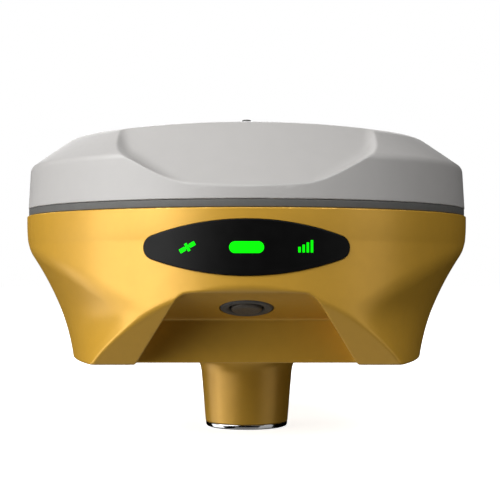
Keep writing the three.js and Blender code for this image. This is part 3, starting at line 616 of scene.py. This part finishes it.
class Look:
    """A node material under construction."""

    def __init__(self, name):
        self.material = bpy.data.materials.new(name)
        self.material.use_nodes = True
        self.nodes = self.material.node_tree.nodes
        self.links = self.material.node_tree.links
        self.shader = self.nodes["Principled BSDF"]
        coordinates = self.nodes.new("ShaderNodeTexCoord")
        self.place = coordinates.outputs["Object"]
        self.bump = None

    def set(self, **values):
        for key, value in values.items():
            self.shader.inputs[key.replace("_", " ")].default_value = value
        return self

    def noise(self, size, detail=3.0, rough=0.55, stretch=(1, 1, 1)):
        """Noise whose features are about size metres wide."""
        mapping = self.nodes.new("ShaderNodeMapping")
        mapping.inputs["Scale"].default_value = stretch
        self.links.new(self.place, mapping.inputs["Vector"])
        noise = self.nodes.new("ShaderNodeTexNoise")
        noise.inputs["Scale"].default_value = 1 / size
        noise.inputs["Detail"].default_value = detail
        noise.inputs["Roughness"].default_value = rough
        self.links.new(mapping.outputs["Vector"], noise.inputs["Vector"])
        return noise.outputs["Fac"]

    def ranged(self, value, low, high, start=0.3, end=0.7):
        node = self.nodes.new("ShaderNodeMapRange")
        node.inputs["From Min"].default_value = start
        node.inputs["From Max"].default_value = end
        node.inputs["To Min"].default_value = low
        node.inputs["To Max"].default_value = high
        self.links.new(value, node.inputs["Value"])
        return node.outputs["Result"]

    def tint(self, value, first, second):
        mix = self.nodes.new("ShaderNodeMix")
        mix.data_type = "RGBA"
        mix.inputs["A"].default_value = (*first, 1)
        mix.inputs["B"].default_value = (*second, 1)
        self.links.new(value, mix.inputs["Factor"])
        self.links.new(mix.outputs["Result"], self.shader.inputs["Base Color"])
        return self

    def vary(self, colour, amount, size, detail=3.0, stretch=(1, 1, 1)):
        base = linear(colour)
        darker = tuple(c * (1 - amount) for c in base)
        lighter = tuple(min(1, c * (1 + amount)) for c in base)
        value = self.ranged(self.noise(size, detail, stretch=stretch), 0, 1)
        return self.tint(value, darker, lighter)

    def roughen(self, low, high, size, detail=3.0, stretch=(1, 1, 1)):
        value = self.ranged(self.noise(size, detail, stretch=stretch), low, high)
        self.links.new(value, self.shader.inputs["Roughness"])
        return self

    def grain(self, size, depth, strength=0.3, detail=2.0, stretch=(1, 1, 1)):
        """A bump of the given depth in metres."""
        bump = self.nodes.new("ShaderNodeBump")
        bump.inputs["Distance"].default_value = depth
        bump.inputs["Strength"].default_value = strength
        self.links.new(self.noise(size, detail, stretch=stretch), bump.inputs["Height"])
        if self.bump is not None:
            self.links.new(self.bump, bump.inputs["Normal"])
        self.bump = bump.outputs["Normal"]
        self.links.new(self.bump, self.shader.inputs["Normal"])
        return self


def yellow_paint():
    look = Look("yellow_paint").set(Metallic=0.3, Coat_Weight=0.12, Coat_Roughness=0.3)
    look.vary("#d4a33a", 0.02, 0.004)
    look.roughen(0.31, 0.37, 0.0012)
    return look.grain(0.0007, 0.00003, 0.35).material


def cover_plastic():
    look = Look("cover_plastic").set(Specular_IOR_Level=0.5)
    look.vary("#aeacaa", 0.012, 0.006)
    look.roughen(0.38, 0.44, 0.0015)
    return look.grain(0.0006, 0.00003, 0.4).material


def seal_rubber():
    look = Look("seal_rubber")
    look.vary("#565654", 0.06, 0.003)
    look.roughen(0.55, 0.68, 0.001)
    return look.grain(0.0004, 0.00003, 0.5).material


def polished_chrome():
    look = Look("polished_chrome").set(Metallic=1.0)
    look.vary("#e4e4e6", 0.02, 0.002)
    return look.roughen(0.08, 0.13, 0.001).material


def machined_steel(name="machined_steel", colour="#a4a6a9"):
    look = Look(name).set(Metallic=1.0)
    look.vary(colour, 0.05, 0.001, stretch=(1, 1, 6))
    look.roughen(0.24, 0.38, 0.0006, stretch=(1, 1, 8))
    return look.grain(0.0005, 0.00001, 0.3, stretch=(1, 1, 10)).material


def brass():
    return machined_steel("turned_brass", "#c9a65c")


def copper():
    return machined_steel("bare_copper", "#c07c4c")


def tinned_can():
    look = Look("tinned_can").set(Metallic=1.0)
    look.vary("#b4b6b8", 0.06, 0.002)
    look.roughen(0.3, 0.45, 0.0015)
    return look.grain(0.0012, 0.00004, 0.3).material


def lens_black():
    look = Look("lens_black").set(Specular_IOR_Level=0.18)
    look.vary("#030303", 0.15, 0.004)
    return look.roughen(0.38, 0.44, 0.004).material


def light_green():
    look = Look("light_green").set(Specular_IOR_Level=0.1, Roughness=0.5)
    look.vary("#02a802", 0.02, 0.001)
    look.shader.inputs["Emission Color"].default_value = (0.001, 1.0, 0.0015, 1)
    look.shader.inputs["Emission Strength"].default_value = 0.92
    return look.material


def button_rubber():
    look = Look("button_rubber")
    look.vary("#50504e", 0.08, 0.0012)
    look.roughen(0.5, 0.62, 0.0008)
    return look.grain(0.0003, 0.00003, 0.5).material


def button_plastic():
    look = Look("button_plastic")
    look.vary("#554d43", 0.06, 0.0012)
    look.roughen(0.45, 0.58, 0.0008)
    return look.grain(0.0003, 0.00002, 0.4).material


def moulded_black(name="moulded_black", colour="#1d1d1f"):
    look = Look(name)
    look.vary(colour, 0.1, 0.002)
    look.roughen(0.5, 0.65, 0.001)
    return look.grain(0.0004, 0.00004, 0.5).material


def battery_shell():
    return moulded_black("battery_shell", "#33373c")


def circuit_board():
    look = Look("circuit_board").set(Coat_Weight=0.4, Coat_Roughness=0.2)
    tracks = look.nodes.new("ShaderNodeTexBrick")
    tracks.inputs["Scale"].default_value = 260
    tracks.inputs["Mortar Size"].default_value = 0.06
    tracks.inputs["Color1"].default_value = (*linear("#1c5c38"), 1)
    tracks.inputs["Color2"].default_value = (*linear("#1a5434"), 1)
    tracks.inputs["Mortar"].default_value = (*linear("#2f7a4c"), 1)
    look.links.new(look.place, tracks.inputs["Vector"])
    look.links.new(tracks.outputs["Color"], look.shader.inputs["Base Color"])
    return look.roughen(0.35, 0.5, 0.001).material


def ceramic():
    look = Look("antenna_ceramic")
    look.vary("#ded7c8", 0.03, 0.002)
    look.roughen(0.45, 0.6, 0.001)
    return look.grain(0.0005, 0.00003, 0.4).material


def gilt_plane():
    return machined_steel("gilt_plane", "#cdb676")


def jacket(name, colour):
    look = Look(name)
    look.vary(colour, 0.06, 0.002)
    look.roughen(0.35, 0.5, 0.001)
    return look.material


def make_looks():
    return {
        "yellow": yellow_paint(), "cover": cover_plastic(), "seal": seal_rubber(),
        "chrome": polished_chrome(), "steel": machined_steel(), "brass": brass(),
        "copper": copper(), "can": tinned_can(), "lens": lens_black(), "green": light_green(),
        "bezel": button_rubber(), "cap": button_plastic(), "black": moulded_black(),
        "rubber": moulded_black("cap_rubber", "#191919"), "battery": battery_shell(),
        "board": circuit_board(), "ceramic": ceramic(), "gilt": gilt_plane(),
        "lead": jacket("lead_jacket", "#5a3c22"), "ribbon": jacket("ribbon_film", "#b07f30"),
    }


# ---- the two shells ----
def housing_fineness(p):
    """Shortest edge worth making: fine outside, coarse in the hidden room."""
    inside = (body_field(p) < -SKIN_DEPTH) & (p[:, 2] > BASE_Z + 1)
    return np.where(inside, COARSE_EDGE, FINE_EDGE)


def button_matrix():
    return along((0, -NOTCH_CEILING_SLOPE, -1), (0, BUTTON_Y, notch_ceiling_z(BUTTON_Y)))


def release_matrix():
    axis = -Vector(JOINTS["door_release_press"]["axis"])
    return along(axis, (axis.x * BODY_RADIUS, axis.y * BODY_RADIUS, DOOR_Z))


def bay_outline(half_width, half_height, corner):
    return lambda grow: rectangle_height(half_width, half_height, corner, grow)


def door_outline(grow):
    return rectangle_height(DOOR_HALF_WIDTH, DOOR_HALF_HEIGHT, 1.2, grow)


def housing_posts():
    posts = [cylinder(5, BASE_Z + 1.5, RIM_Z - 0.05, x, y, 40) for x, y in SCREW_PLACES]
    posts += [cylinder(3, BASE_Z + 1.5, 40.9, x, y) for x, y in BOARD_SCREW_PLACES]
    posts.append(cylinder(3, 52, RIM_Z - 0.05, HINGE_X * 0.985, HINGE_Y * 0.985))
    frame_outline = bay_outline(DOOR_HALF_WIDTH + 2.4, DOOR_HALF_HEIGHT + 1.6, 3)
    posts.append(wall_plate("frame", frame_outline, 1, 70.8, 75, DOOR_Z, 0.3, 40, 8))
    for x in (-24, 24):
        posts.append(block((x - 1, 46.5, 38), (x + 1, 60, 53.2)))
    for x in (-11.5, 11.5):
        post = cylinder(1.6, -9, -1, x, 0, 20)
        posts.append(moved(post, button_matrix()))
    return posts


def housing_cuts():
    cuts = [cylinder(3.2, BASE_Z - 1, 60, x, y) for x, y in SCREW_PLACES]
    cuts += [cylinder(3.9, BASE_Z - 1, BASE_Z + 0.35, x, y) for x, y in SCREW_PLACES]
    cuts += [cylinder(1.75, 59.5, RIM_Z + 1, x, y) for x, y in SCREW_PLACES]
    cuts += [cylinder(1.3, 34, 42, x, y, 20) for x, y in BOARD_SCREW_PLACES]
    cuts.append(wall_plate("cut", lambda grow: oval_height(0.16 + grow), -1, 74.5, 79, DISPLAY_Z, 0.01))
    bar = bay_outline(6.4, 3.2, 1.0)
    cuts.append(wall_plate("cut", bar, -1, 70, 75, DISPLAY_Z, 0.01, 12, 4))
    for x in (-SYMBOL_X, SYMBOL_X):
        cuts.append(block((x - 4, -80, DISPLAY_Z - 3.2), (x + 4, -68, DISPLAY_Z + 3.2)))
    button = cylinder(BEZEL_RADIUS + 0.25, -7, 3, segments=72)
    cuts.append(moved(button, button_matrix()))
    cuts.append(wall_plate("cut", lambda grow: door_outline(0.3 + grow), 1, 73.3, 79, DOOR_Z, 0.01))
    bay = bay_outline(28.6, 7.2, 1.5)
    cuts.append(wall_plate("cut", bay, 1, 66, 78, DOOR_Z, 0.01, 40, 8))
    low = (HINGE_X - 2, HINGE_Y - 1.8, DOOR_Z - 3.8)
    cuts.append(block(low, (-DOOR_HALF_WIDTH + 1, 90, DOOR_Z + 3.8)))
    cuts.append(cylinder(HINGE_BORE_RADIUS, DOOR_Z - 8.6, DOOR_Z + 8.6, HINGE_X, HINGE_Y))
    release = cylinder(3.8, -12, 3, segments=48)
    cuts.append(moved(release, release_matrix()))
    for x, radius in ((-PORT_X, 4.7), (0, 4.3), (PORT_X, 4.7)):
        cuts.append(moved(cylinder(radius, 40, 52, segments=48), along((0, 1, 0), (x, 0, PORT_Z))))
    return cuts


def make_housing(looks):
    low = (-GRID_REACH, -GRID_REACH, 2)
    points, triangles = skinned(housing_field, low, (GRID_REACH, GRID_REACH, RIM_Z), GRID_STEP)
    points, triangles = refined(housing_field, points, triangles, housing_fineness)
    housing = new_object("housing_shell", points, triangles)
    face_outwards(housing)
    combine(housing, housing_posts(), "UNION")
    combine(housing, housing_cuts(), "DIFFERENCE")
    smooth(housing)
    follow_field(housing, housing_field)
    finish_piece(housing, looks["yellow"], "receiver", "housing_yellow", "lower_housing")


def cover_fineness(p):
    inside = cover_outside_field(p) < -SKIN_DEPTH
    return np.where(inside, COARSE_EDGE, FINE_EDGE)


def make_cover(looks):
    low = (-GRID_REACH, -GRID_REACH, COVER_BOTTOM_Z)
    points, triangles = skinned(cover_field, low, (GRID_REACH, GRID_REACH, COVER_TOP_Z), GRID_STEP)
    points, triangles = refined(cover_field, points, triangles, cover_fineness)
    cover = new_object("cover_shell", points, triangles)
    face_outwards(cover)
    posts = [cylinder(4, COVER_BOTTOM_Z + 0.05, 96.5, x, y) for x, y in SCREW_PLACES]
    combine(cover, posts, "UNION")
    holes = [cylinder(1.5, COVER_BOTTOM_Z - 1, 84, x, y, 24) for x, y in SCREW_PLACES]
    combine(cover, holes, "DIFFERENCE")
    smooth(cover)
    follow_field(cover, cover_field)
    finish_piece(cover, looks["cover"], "receiver", "cover_grey", "top_cover")

    low, high = node_box("centre_mark")
    top = high[2]
    profile = [
        (0, low[2]), (high[0], low[2]), (high[0], top - 0.8), (high[0] - 0.45, top - 0.15), (0, top),
    ]
    mark = turned("centre_pip", rounded_profile(profile, 0.4), 40)
    smooth(mark)
    finish_piece(mark, looks["seal"], "receiver", "seal_rubber", "centre_mark")


def make_seal(looks):
    low, high = node_box("seal_band")
    inner, outer = SEAL_INNER_RADIUS, high[0]
    profile = [
        (inner, low[2]), (outer, low[2]), (outer, high[2]), (inner, high[2]), (inner, low[2]),
    ]
    band = turned("seal_ring", rounded_profile(profile, 0.35), 224)
    smooth(band)
    finish_piece(band, looks["seal"], "receiver", "seal_rubber", "seal_band")


# ---- neck ----
def make_neck(looks):
    top = RING_HIGH[2]
    inner = NECK_BORE_RADIUS
    profile = [
        (inner, top), (inner, 0.3), (inner + 0.4, 0), (13.2, 0), (14.15, 0.35), (RING_HIGH[0], 1.3),
        (RING_HIGH[0], top), (inner, top),
    ]
    ring = turned("foot_ring", rounded_profile(profile, 0.35, 5), 144)
    smooth(ring)
    finish_piece(ring, looks["chrome"], "receiver", "chrome_ring", "neck_ring")
    make_thread(looks)


def flat_ring(radius, z, count):
    turn = np.arange(count) * 2 * math.pi / count
    return np.stack([np.cos(turn) * radius, np.sin(turn) * radius, np.full(count, float(z))], 1)


def make_thread(looks, pitch=2.309, segments=72):
    """The insert: a sleeve with a real 5/8 inch internal thread."""
    low, high = node_box("threaded_insert")
    bottom, top = low[2], high[2]
    outer, minor, major = high[0], 6.9, 7.75
    heights = np.linspace(bottom + 0.6, top - 0.4, int((top - bottom) / pitch * 10))
    rings = [flat_ring(outer - 0.4, bottom, segments), flat_ring(outer, bottom + 0.4, segments)]
    rings += [flat_ring(outer, top - 0.3, segments), flat_ring(outer - 0.3, top, segments)]
    rings.append(flat_ring(minor + 0.3, top, segments))
    turn = np.arange(segments) / segments
    for z in heights[::-1]:
        phase = (z / pitch - turn) % 1
        depth = np.clip(1.25 - np.abs(phase - 0.5) * 3, 0, 1)
        fade = np.clip(min(z - bottom - 0.6, top - 0.4 - z) / 1.2, 0, 1)
        radius = minor + (major - minor) * depth * fade
        angle = turn * 2 * math.pi
        rings.append(np.stack([np.cos(angle) * radius, np.sin(angle) * radius, np.full(segments, z)], 1))
    rings.append(flat_ring(minor + 0.6, bottom, segments))
    rings.append(rings[0])
    points = np.concatenate(rings[:-1])
    faces = []
    count = len(rings) - 1
    for level in range(count):
        after = (level + 1) % count
        for i in range(segments):
            j = (i + 1) % segments
            a, b = level * segments, after * segments
            faces.append((a + i, a + j, b + j, b + i))
    insert = new_object("threaded_sleeve", points, faces)
    face_outwards(insert)
    smooth(insert, 40)
    finish_piece(insert, looks["steel"], "receiver", "steel", "threaded_insert")


# ---- status window ----
def satellite_outline(grow=0.0):
    """A satellite seen from the side: a slim body, two arms and two panels, tilted."""
    g = grow
    half = [
        (0.4 + g, 1.25 + g), (0.4 + g, 0.24 + g), (0.75 - g, 0.24 + g), (0.75 - g, 0.62 + g),
        (2.55 + g, 0.62 + g), (2.55 + g, -0.62 - g), (0.75 - g, -0.62 - g), (0.75 - g, -0.24 - g),
        (0.4 + g, -0.24 - g), (0.4 + g, -1.25 - g),
    ]
    whole = half + [(-x, -z) for x, z in half]
    turn = math.radians(30)
    cos, sin = math.cos(turn), math.sin(turn)
    return [(-SYMBOL_X + x * cos - z * sin, DISPLAY_Z + x * sin + z * cos) for x, z in whole]


def signal_outlines(grow=0.0):
    bars = []
    for step in range(4):
        x = 15.5 + step * 1.23
        foot = DISPLAY_Z - 1.5 - grow
        head = DISPLAY_Z + 0.1 + step * 0.66 + grow
        half = 0.36 + grow
        bars.append([(x - half, foot), (x + half, foot), (x + half, head), (x - half, head)])
    return bars


def power_outline(grow=0.0):
    return rectangle_height(5.1, 1.7, 1.69, grow)


def make_display(looks):
    face = BODY_RADIUS - 0.08
    lens = wall_plate("window_lens", oval_height, -1, 74.6, face, DISPLAY_Z, 0.22, 120, 26)
    gap = 0.04
    cuts = [wall_plate("cut", lambda grow: power_outline(gap + grow), -1, 72, 80, DISPLAY_Z, 0.01, 40, 8)]
    cuts.append(wall_stamp("cut", satellite_outline(gap), -1, 72, 80, 0))
    cuts += [wall_stamp("cut", bar, -1, 72, 80, 0) for bar in signal_outlines(gap)]
    combine(lens, cuts, "DIFFERENCE")
    smooth(lens, 25)
    follow_field(lens, wall_field(face))
    finish_piece(lens, looks["lens"], "receiver", "lens", "display_window")

    bar = wall_plate("power_bar", power_outline, -1, LIGHT_INNER_RADIUS, face, DISPLAY_Z, 0.05, 40, 8)
    smooth(bar)
    finish_piece(bar, looks["green"], "receiver", "light_green", "power_light")
    icon = wall_stamp("satellite_icon", satellite_outline(), -1, LIGHT_INNER_RADIUS, face, 0.02)
    finish_piece(icon, looks["green"], "receiver", "light_green", "satellite_light")
    bars = [wall_stamp("signal_icon", bar, -1, 74.0, face, 0.02) for bar in signal_outlines()]
    base = bay_outline(2.6, 2.2, 0.3)
    plate = wall_plate("base", base, -1, LIGHT_INNER_RADIUS, 74.1, DISPLAY_Z + 0.3, 0.05, 10, 4)
    moved(plate, Matrix.Rotation(math.asin(17.35 / 74), 4, "Z"))
    combine(bars[0], bars[1:] + [plate], "UNION")
    finish_piece(bars[0], looks["green"], "receiver", "light_green", "signal_lights")


# ---- power button ----
def make_button(looks):
    place = button_matrix()
    r = BEZEL_RADIUS
    bore = BEZEL_BORE_RADIUS
    profile = [
        (bore, -4.6), (r, -4.6), (r, -0.1), (r - 0.5, 0.35), (5.8, 0.3), (bore, -0.35), (bore, -4.6),
    ]
    bezel = turned("button_ring", rounded_profile(profile, 0.35, 5), 112)
    smooth(moved(bezel, place))
    finish_piece(bezel, looks["bezel"], "receiver", "button_rubber", "button_bezel")
    r = BUTTON_RADIUS
    profile = [(0, -4), (r, -4), (r, 0.4), (r - 0.6, 0.85), (2.8, 0.9), (2.2, 0.8), (0, 0.76)]
    cap = turned("button_cap_disc", rounded_profile(profile, 0.5, 5), 96)
    smooth(moved(cap, place))
    finish_piece(cap, looks["cap"], "power_button", "button_cap", "power_button")


# ---- battery bay ----
def hinge_swing():
    """The room round the hinge that the door leaves free, to turn past the edge of its hole."""
    return cylinder(3.5, DOOR_Z - 18, DOOR_Z + 18, HINGE_X, HINGE_Y, 64)


def make_door(looks):
    outer = 76.4
    door = wall_plate("door_panel", door_outline, 1, 74.1, outer, DOOR_Z, 0.35, 96, 16)
    half = 3.5
    combine(door, [hinge_swing()], "DIFFERENCE")
    arm = wall_plate("arm", bay_outline(2.4, half, 0.2), 1, 74.2, 76.3, DOOR_Z, 0.1, 6, 4)
    moved(arm, Matrix.Rotation(math.atan2(31.2, 69.3), 4, "Z"))
    barrel = cylinder(1.2, DOOR_Z - half, DOOR_Z + half, HINGE_X, HINGE_Y, 40)
    combine(door, [arm, barrel], "UNION")
    cuts = [cylinder(HINGE_BORE_RADIUS, DOOR_Z - 8, DOOR_Z + 8, HINGE_X, HINGE_Y, 24)]
    for step in range(5):
        groove = bay_outline(0.35, 3.6, 0.3)
        rib = wall_plate("groove", groove, 1, 76.05, 78, DOOR_Z, 0.02, 6, 6)
        cuts.append(moved(rib, Matrix.Rotation(-math.radians(17.2 + step * 1.15), 4, "Z")))
    combine(door, cuts, "DIFFERENCE")
    smooth(door)
    follow_field(door, wall_field(outer))
    finish_piece(door, looks["yellow"], "battery_door", "housing_yellow", "battery_door")

    low, high = node_box("door_hinge_pin")
    r = HINGE_PIN_RADIUS
    profile = [(0, low[2]), (r, low[2]), (r, high[2]), (0, high[2])]
    pin = turned("hinge_pin", rounded_profile(profile, 0.2), 32)
    smooth(moved(pin, Matrix.Translation(Vector((HINGE_X, HINGE_Y, 0)) * MM)))
    finish_piece(pin, looks["steel"], "receiver", "steel", "door_hinge_pin")

    seal = wall_plate("door_gasket", lambda grow: door_outline(grow - 0.3), 1, 73.5, 74.0, DOOR_Z, 0.15)
    hole = wall_plate("cut", bay_outline(29.1, 7.7, 1.5), 1, 70, 78, DOOR_Z, 0.01)
    combine(seal, [hole, hinge_swing()], "DIFFERENCE")
    smooth(seal)
    finish_piece(seal, looks["rubber"], "battery_door", "cap_rubber", "door_seal")


def make_release(looks):
    profile = [(0, -6), (3.6, -6), (3.6, -0.7), (3.1, -0.3), (2.4, -0.35), (0, -0.75)]
    button = turned("release_button", rounded_profile(profile, 0.3), 64)
    smooth(moved(button, release_matrix()))
    finish_piece(button, looks["bezel"], "door_release", "button_rubber", "door_release")


def make_battery(looks):
    low, high = node_box("battery_pack")
    work = bmesh.new()
    bmesh.ops.create_cube(work, size=1)
    size = (high - low) * MM
    bmesh.ops.scale(work, vec=size, verts=work.verts)
    bmesh.ops.translate(work, vec=(low + high) / 2 * MM, verts=work.verts)
    long_edges = [e for e in work.edges if abs((e.verts[0].co - e.verts[1].co).y) > 0.01]
    bmesh.ops.bevel(work, geom=long_edges, offset=0.0025, segments=6, affect="EDGES", profile=0.5)
    caps = [e for e in work.edges if e.calc_face_angle(0) > 1.2]
    bmesh.ops.bevel(work, geom=caps, offset=0.0005, segments=3, affect="EDGES", profile=0.5)
    mesh = bpy.data.meshes.new("battery_block")
    work.to_mesh(mesh)
    work.free()
    pack = bpy.data.objects.new("battery_block", mesh)
    bpy.context.scene.collection.objects.link(pack)
    centre = (low + high) / 2
    grips = []
    for x in range(-12, 14, 3):
        corner = (x - 0.5, high[1] - 3.5, high[2] - 0.5)
        grips.append(block(corner, (x + 0.5, high[1] - 0.6, high[2] + 1)))
    seam = block((low[0] - 1, low[1] + 3.0, centre[2] - 0.15), (low[0] + 0.25, high[1] - 1, centre[2] + 0.15))
    combine(pack, grips + [seam], "DIFFERENCE")
    smooth(pack)
    finish_piece(pack, looks["battery"], "receiver", "battery", "battery_pack")


# ---- connectors ----
def make_port(looks, name, x, pins):
    face = NOTCH_WALL_Y
    place = along((0, 1, 0), (x, 0, PORT_Z))
    back = PORT_BACK_Y
    profile = [(3.7, back), (4.6, back), (4.6, face + 1), (3.7, face + 1), (3.7, back)]
    shell = turned(name + "_shell", rounded_profile(profile, 0.25), 72)
    keyway = block((-0.5, 3.4, 46), (0.5, 4.1, 52))
    combine(shell, [keyway], "DIFFERENCE")
    smooth(moved(shell, place))
    finish_piece(shell, looks["steel"], "receiver", "steel", name)
    core = turned(name + "_core", rounded_profile([(0, 40.5), (3.5, 40.5), (3.5, 44.6), (0, 44.6)], 0.2), 48)
    contacts = []
    for step in range(pins):
        angle = step / pins * 2 * math.pi + math.pi / 4
        pin = turned("pin", rounded_profile([(0, 44), (0.4, 44), (0.4, 47.3), (0, 47.6)], 0.2), 16)
        place_in_core = Vector((1.8 * math.cos(angle), 1.8 * math.sin(angle), 0))
        contacts.append(moved(pin, Matrix.Translation(place_in_core * MM)))
    combine(core, contacts, "UNION")
    smooth(moved(core, place))
    finish_piece(core, looks["black"], "receiver", "black_plastic", name + "_pins")

    profile = [
        (0, face + 0.1), (2.9, face + 0.1), (2.9, face + 1.2), (5.3, face + 1.2), (5.3, face + 2.6),
        (4.9, face + 3), (3.4, face + 3), (3.0, face + 2.7), (0, face + 2.7),
    ]
    cap = turned(name + "_lid", rounded_profile(profile, 0.3), 72)
    smooth(moved(cap, place))
    finish_piece(cap, looks["rubber"], name + "_cap", "cap_rubber", name + "_cap")


def make_connectors(looks):
    make_port(looks, "power_port", -PORT_X, 4)
    make_port(looks, "data_port", PORT_X, 7)
    face = NOTCH_WALL_Y
    back = PORT_BACK_Y
    profile = [
        (2.6, back), (4.1, back), (4.1, face + 0.4), (4.7, face + 0.4), (4.7, face + 2),
        (3.7, face + 2.2),
    ]
    for turn in range(5):
        z = face + 2.7 + turn * 1.15
        profile += [(3.62, z), (3.98, z + 0.4), (3.98, z + 0.65), (3.62, z + 1.0)]
    profile += [(3.6, face + 8.8), (3.3, face + 9), (2.6, face + 9), (2.6, back)]
    barrel = turned("radio_barrel", rounded_profile(profile, 0.12, 3), 72)
    place = along((0, 1, 0), (0, 0, PORT_Z))
    smooth(moved(barrel, place), 40)
    finish_piece(barrel, looks["brass"], "receiver", "brass", "radio_connector")
    profile = [
        (0, 40.6), (2.4, 40.6), (2.4, face + 4), (0.7, face + 4), (0.7, face + 7.2), (0.3, face + 7.5),
        (0, face + 7.5),
    ]
    core = turned("radio_core", rounded_profile(profile, 0.15), 40)
    smooth(moved(core, place))
    finish_piece(core, looks["ceramic"], "receiver", "antenna_ceramic", "radio_connector_core")


# ---- carried-over CAD nodes ----
def dress_frame(looks):
    dress = {
        "display_board": "board", "button_board": "board", "main_board": "board",
        "power_switch": "can", "amplifier_shield": "can", "gnss_module": "can",
        "radio_module": "can", "modem_module": "can", "ground_plane": "gilt",
        "lower_antenna_substrate": "ceramic", "upper_antenna_substrate": "ceramic",
        "lower_antenna_patch": "copper", "upper_antenna_patch": "copper", "buzzer": "black",
        "battery_tray": "black", "battery_contacts": "brass", "antenna_lead": "lead",
        "display_ribbon": "ribbon",
    }
    for step in range(1, 5):
        dress[f"board_screw_{step}"] = "steel"
        dress[f"housing_screw_{step}"] = "steel"
    for name, look in dress.items():
        mesh = frame["nodes"][name].data
        mesh.materials.clear()
        mesh.materials.append(looks[look])


# ---- stage ----
def area_light(name, azimuth, elevation, distance, size, power, target=(0, 0, 0.06)):
    """A soft box. Azimuth 0 is at the front and 90 is on the receiver's right, +X."""
    a, e = math.radians(azimuth), math.radians(elevation)
    back = Vector((math.sin(a) * math.cos(e), -math.cos(a) * math.cos(e), math.sin(e)))
    light = bpy.data.lights.new(name, "AREA")
    light.shape = "RECTANGLE"
    light.size, light.size_y = size
    light.energy = power
    lamp = bpy.data.objects.new(name, light)
    lamp.location = Vector(target) + back * distance
    lamp.rotation_mode = "QUATERNION"
    lamp.rotation_quaternion = (-back).to_track_quat("-Z", "Y")
    bpy.context.scene.collection.objects.link(lamp)
    return lamp


def make_stage():
    scene = bpy.context.scene
    scene.view_settings.view_transform = "Standard"
    world = bpy.data.worlds.new("studio")
    scene.world = world
    world.use_nodes = True
    sky = world.node_tree.nodes["Background"]
    sky.inputs["Color"].default_value = (1, 1, 1, 1)
    sky.inputs["Strength"].default_value = 1.0
    world.cycles_visibility.diffuse = False
    world.cycles_visibility.glossy = False

    reach = 4000
    corners = [(-reach, -reach, 0), (reach, -reach, 0), (reach, reach, 0), (-reach, reach, 0)]
    floor = new_object("floor", corners, [(0, 1, 2, 3)])
    look = Look("floor_white").set(Roughness=0.9, Specular_IOR_Level=0.0)
    look.vary("#f4f4f2", 0.01, 0.2)
    look.shader.inputs["Emission Color"].default_value = (1, 1, 1, 1)
    # Painted shade: the floor's emission is 0.82 within 0.1 m of the centre and rises to 1.0 by 0.5 m,
    # darkening the floor round the receiver's foot as a painted contact shadow on top of the real one.
    spread = look.nodes.new("ShaderNodeVectorMath")
    spread.operation = "LENGTH"
    look.links.new(look.place, spread.inputs[0])
    shadow_dimmed_glow = look.ranged(spread.outputs["Value"], 0.82, 1.0, 0.1, 0.5)
    look.links.new(shadow_dimmed_glow, look.shader.inputs["Emission Strength"])
    floor.data.materials.append(look.material)
    floor.visible_diffuse = False
    floor.visible_glossy = False
    floor.visible_shadow = False

    area_light("key", -58, 8, 1.2, (0.95, 0.8), 4.9)
    area_light("left", -90, 10, 1.2, (0.7, 0.8), 0.6)
    area_light("front_left", -38, 8, 1.2, (0.6, 0.8), 3.1)
    area_light("low_left", -70, -8, 1.2, (0.7, 0.6), 1.4)
    area_light("under_left", -95, -25, 1.1, (0.8, 0.6), 2.1)
    area_light("front_right", 30, 10, 1.3, (0.6, 0.8), 0.2)
    area_light("right", 62, 8, 1.3, (0.6, 0.8), 1.0)
    area_light("under_right", 60, -25, 1.1, (0.8, 0.6), 0.6)
    area_light("under_front", 0, -62, 1.0, (1.2, 1.2), 0.7)
    area_light("under", 180, -80, 1.0, (1.2, 1.2), 1.45)
    area_light("high_front", 0, 45, 1.4, (0.9, 0.7), 4.9)
    area_light("high_left", -60, 42, 1.4, (0.9, 0.7), 16)
    area_light("high_right", 50, 42, 1.4, (0.9, 0.7), 6.4)
    area_light("back", 182, 24, 1.4, (0.9, 0.7), 5)


def make_camera():
    data = bpy.data.cameras.new("camera")
    data.sensor_width = 36.0
    data.lens = 87.4
    data.shift_x = 0.0068
    camera = bpy.data.objects.new("camera", data)
    camera.location = (0, -0.430, 0.0542)
    camera.rotation_euler = (math.radians(91.03), 0, 0)
    data.clip_start = 0.01
    data.clip_end = 20
    bpy.context.scene.collection.objects.link(camera)
    bpy.context.scene.camera = camera


looks = make_looks()
make_camera()
make_stage()
make_housing(looks)
make_cover(looks)
make_seal(looks)
make_neck(looks)
make_display(looks)
make_button(looks)
make_door(looks)
make_release(looks)
make_battery(looks)
make_connectors(looks)
dress_frame(looks)
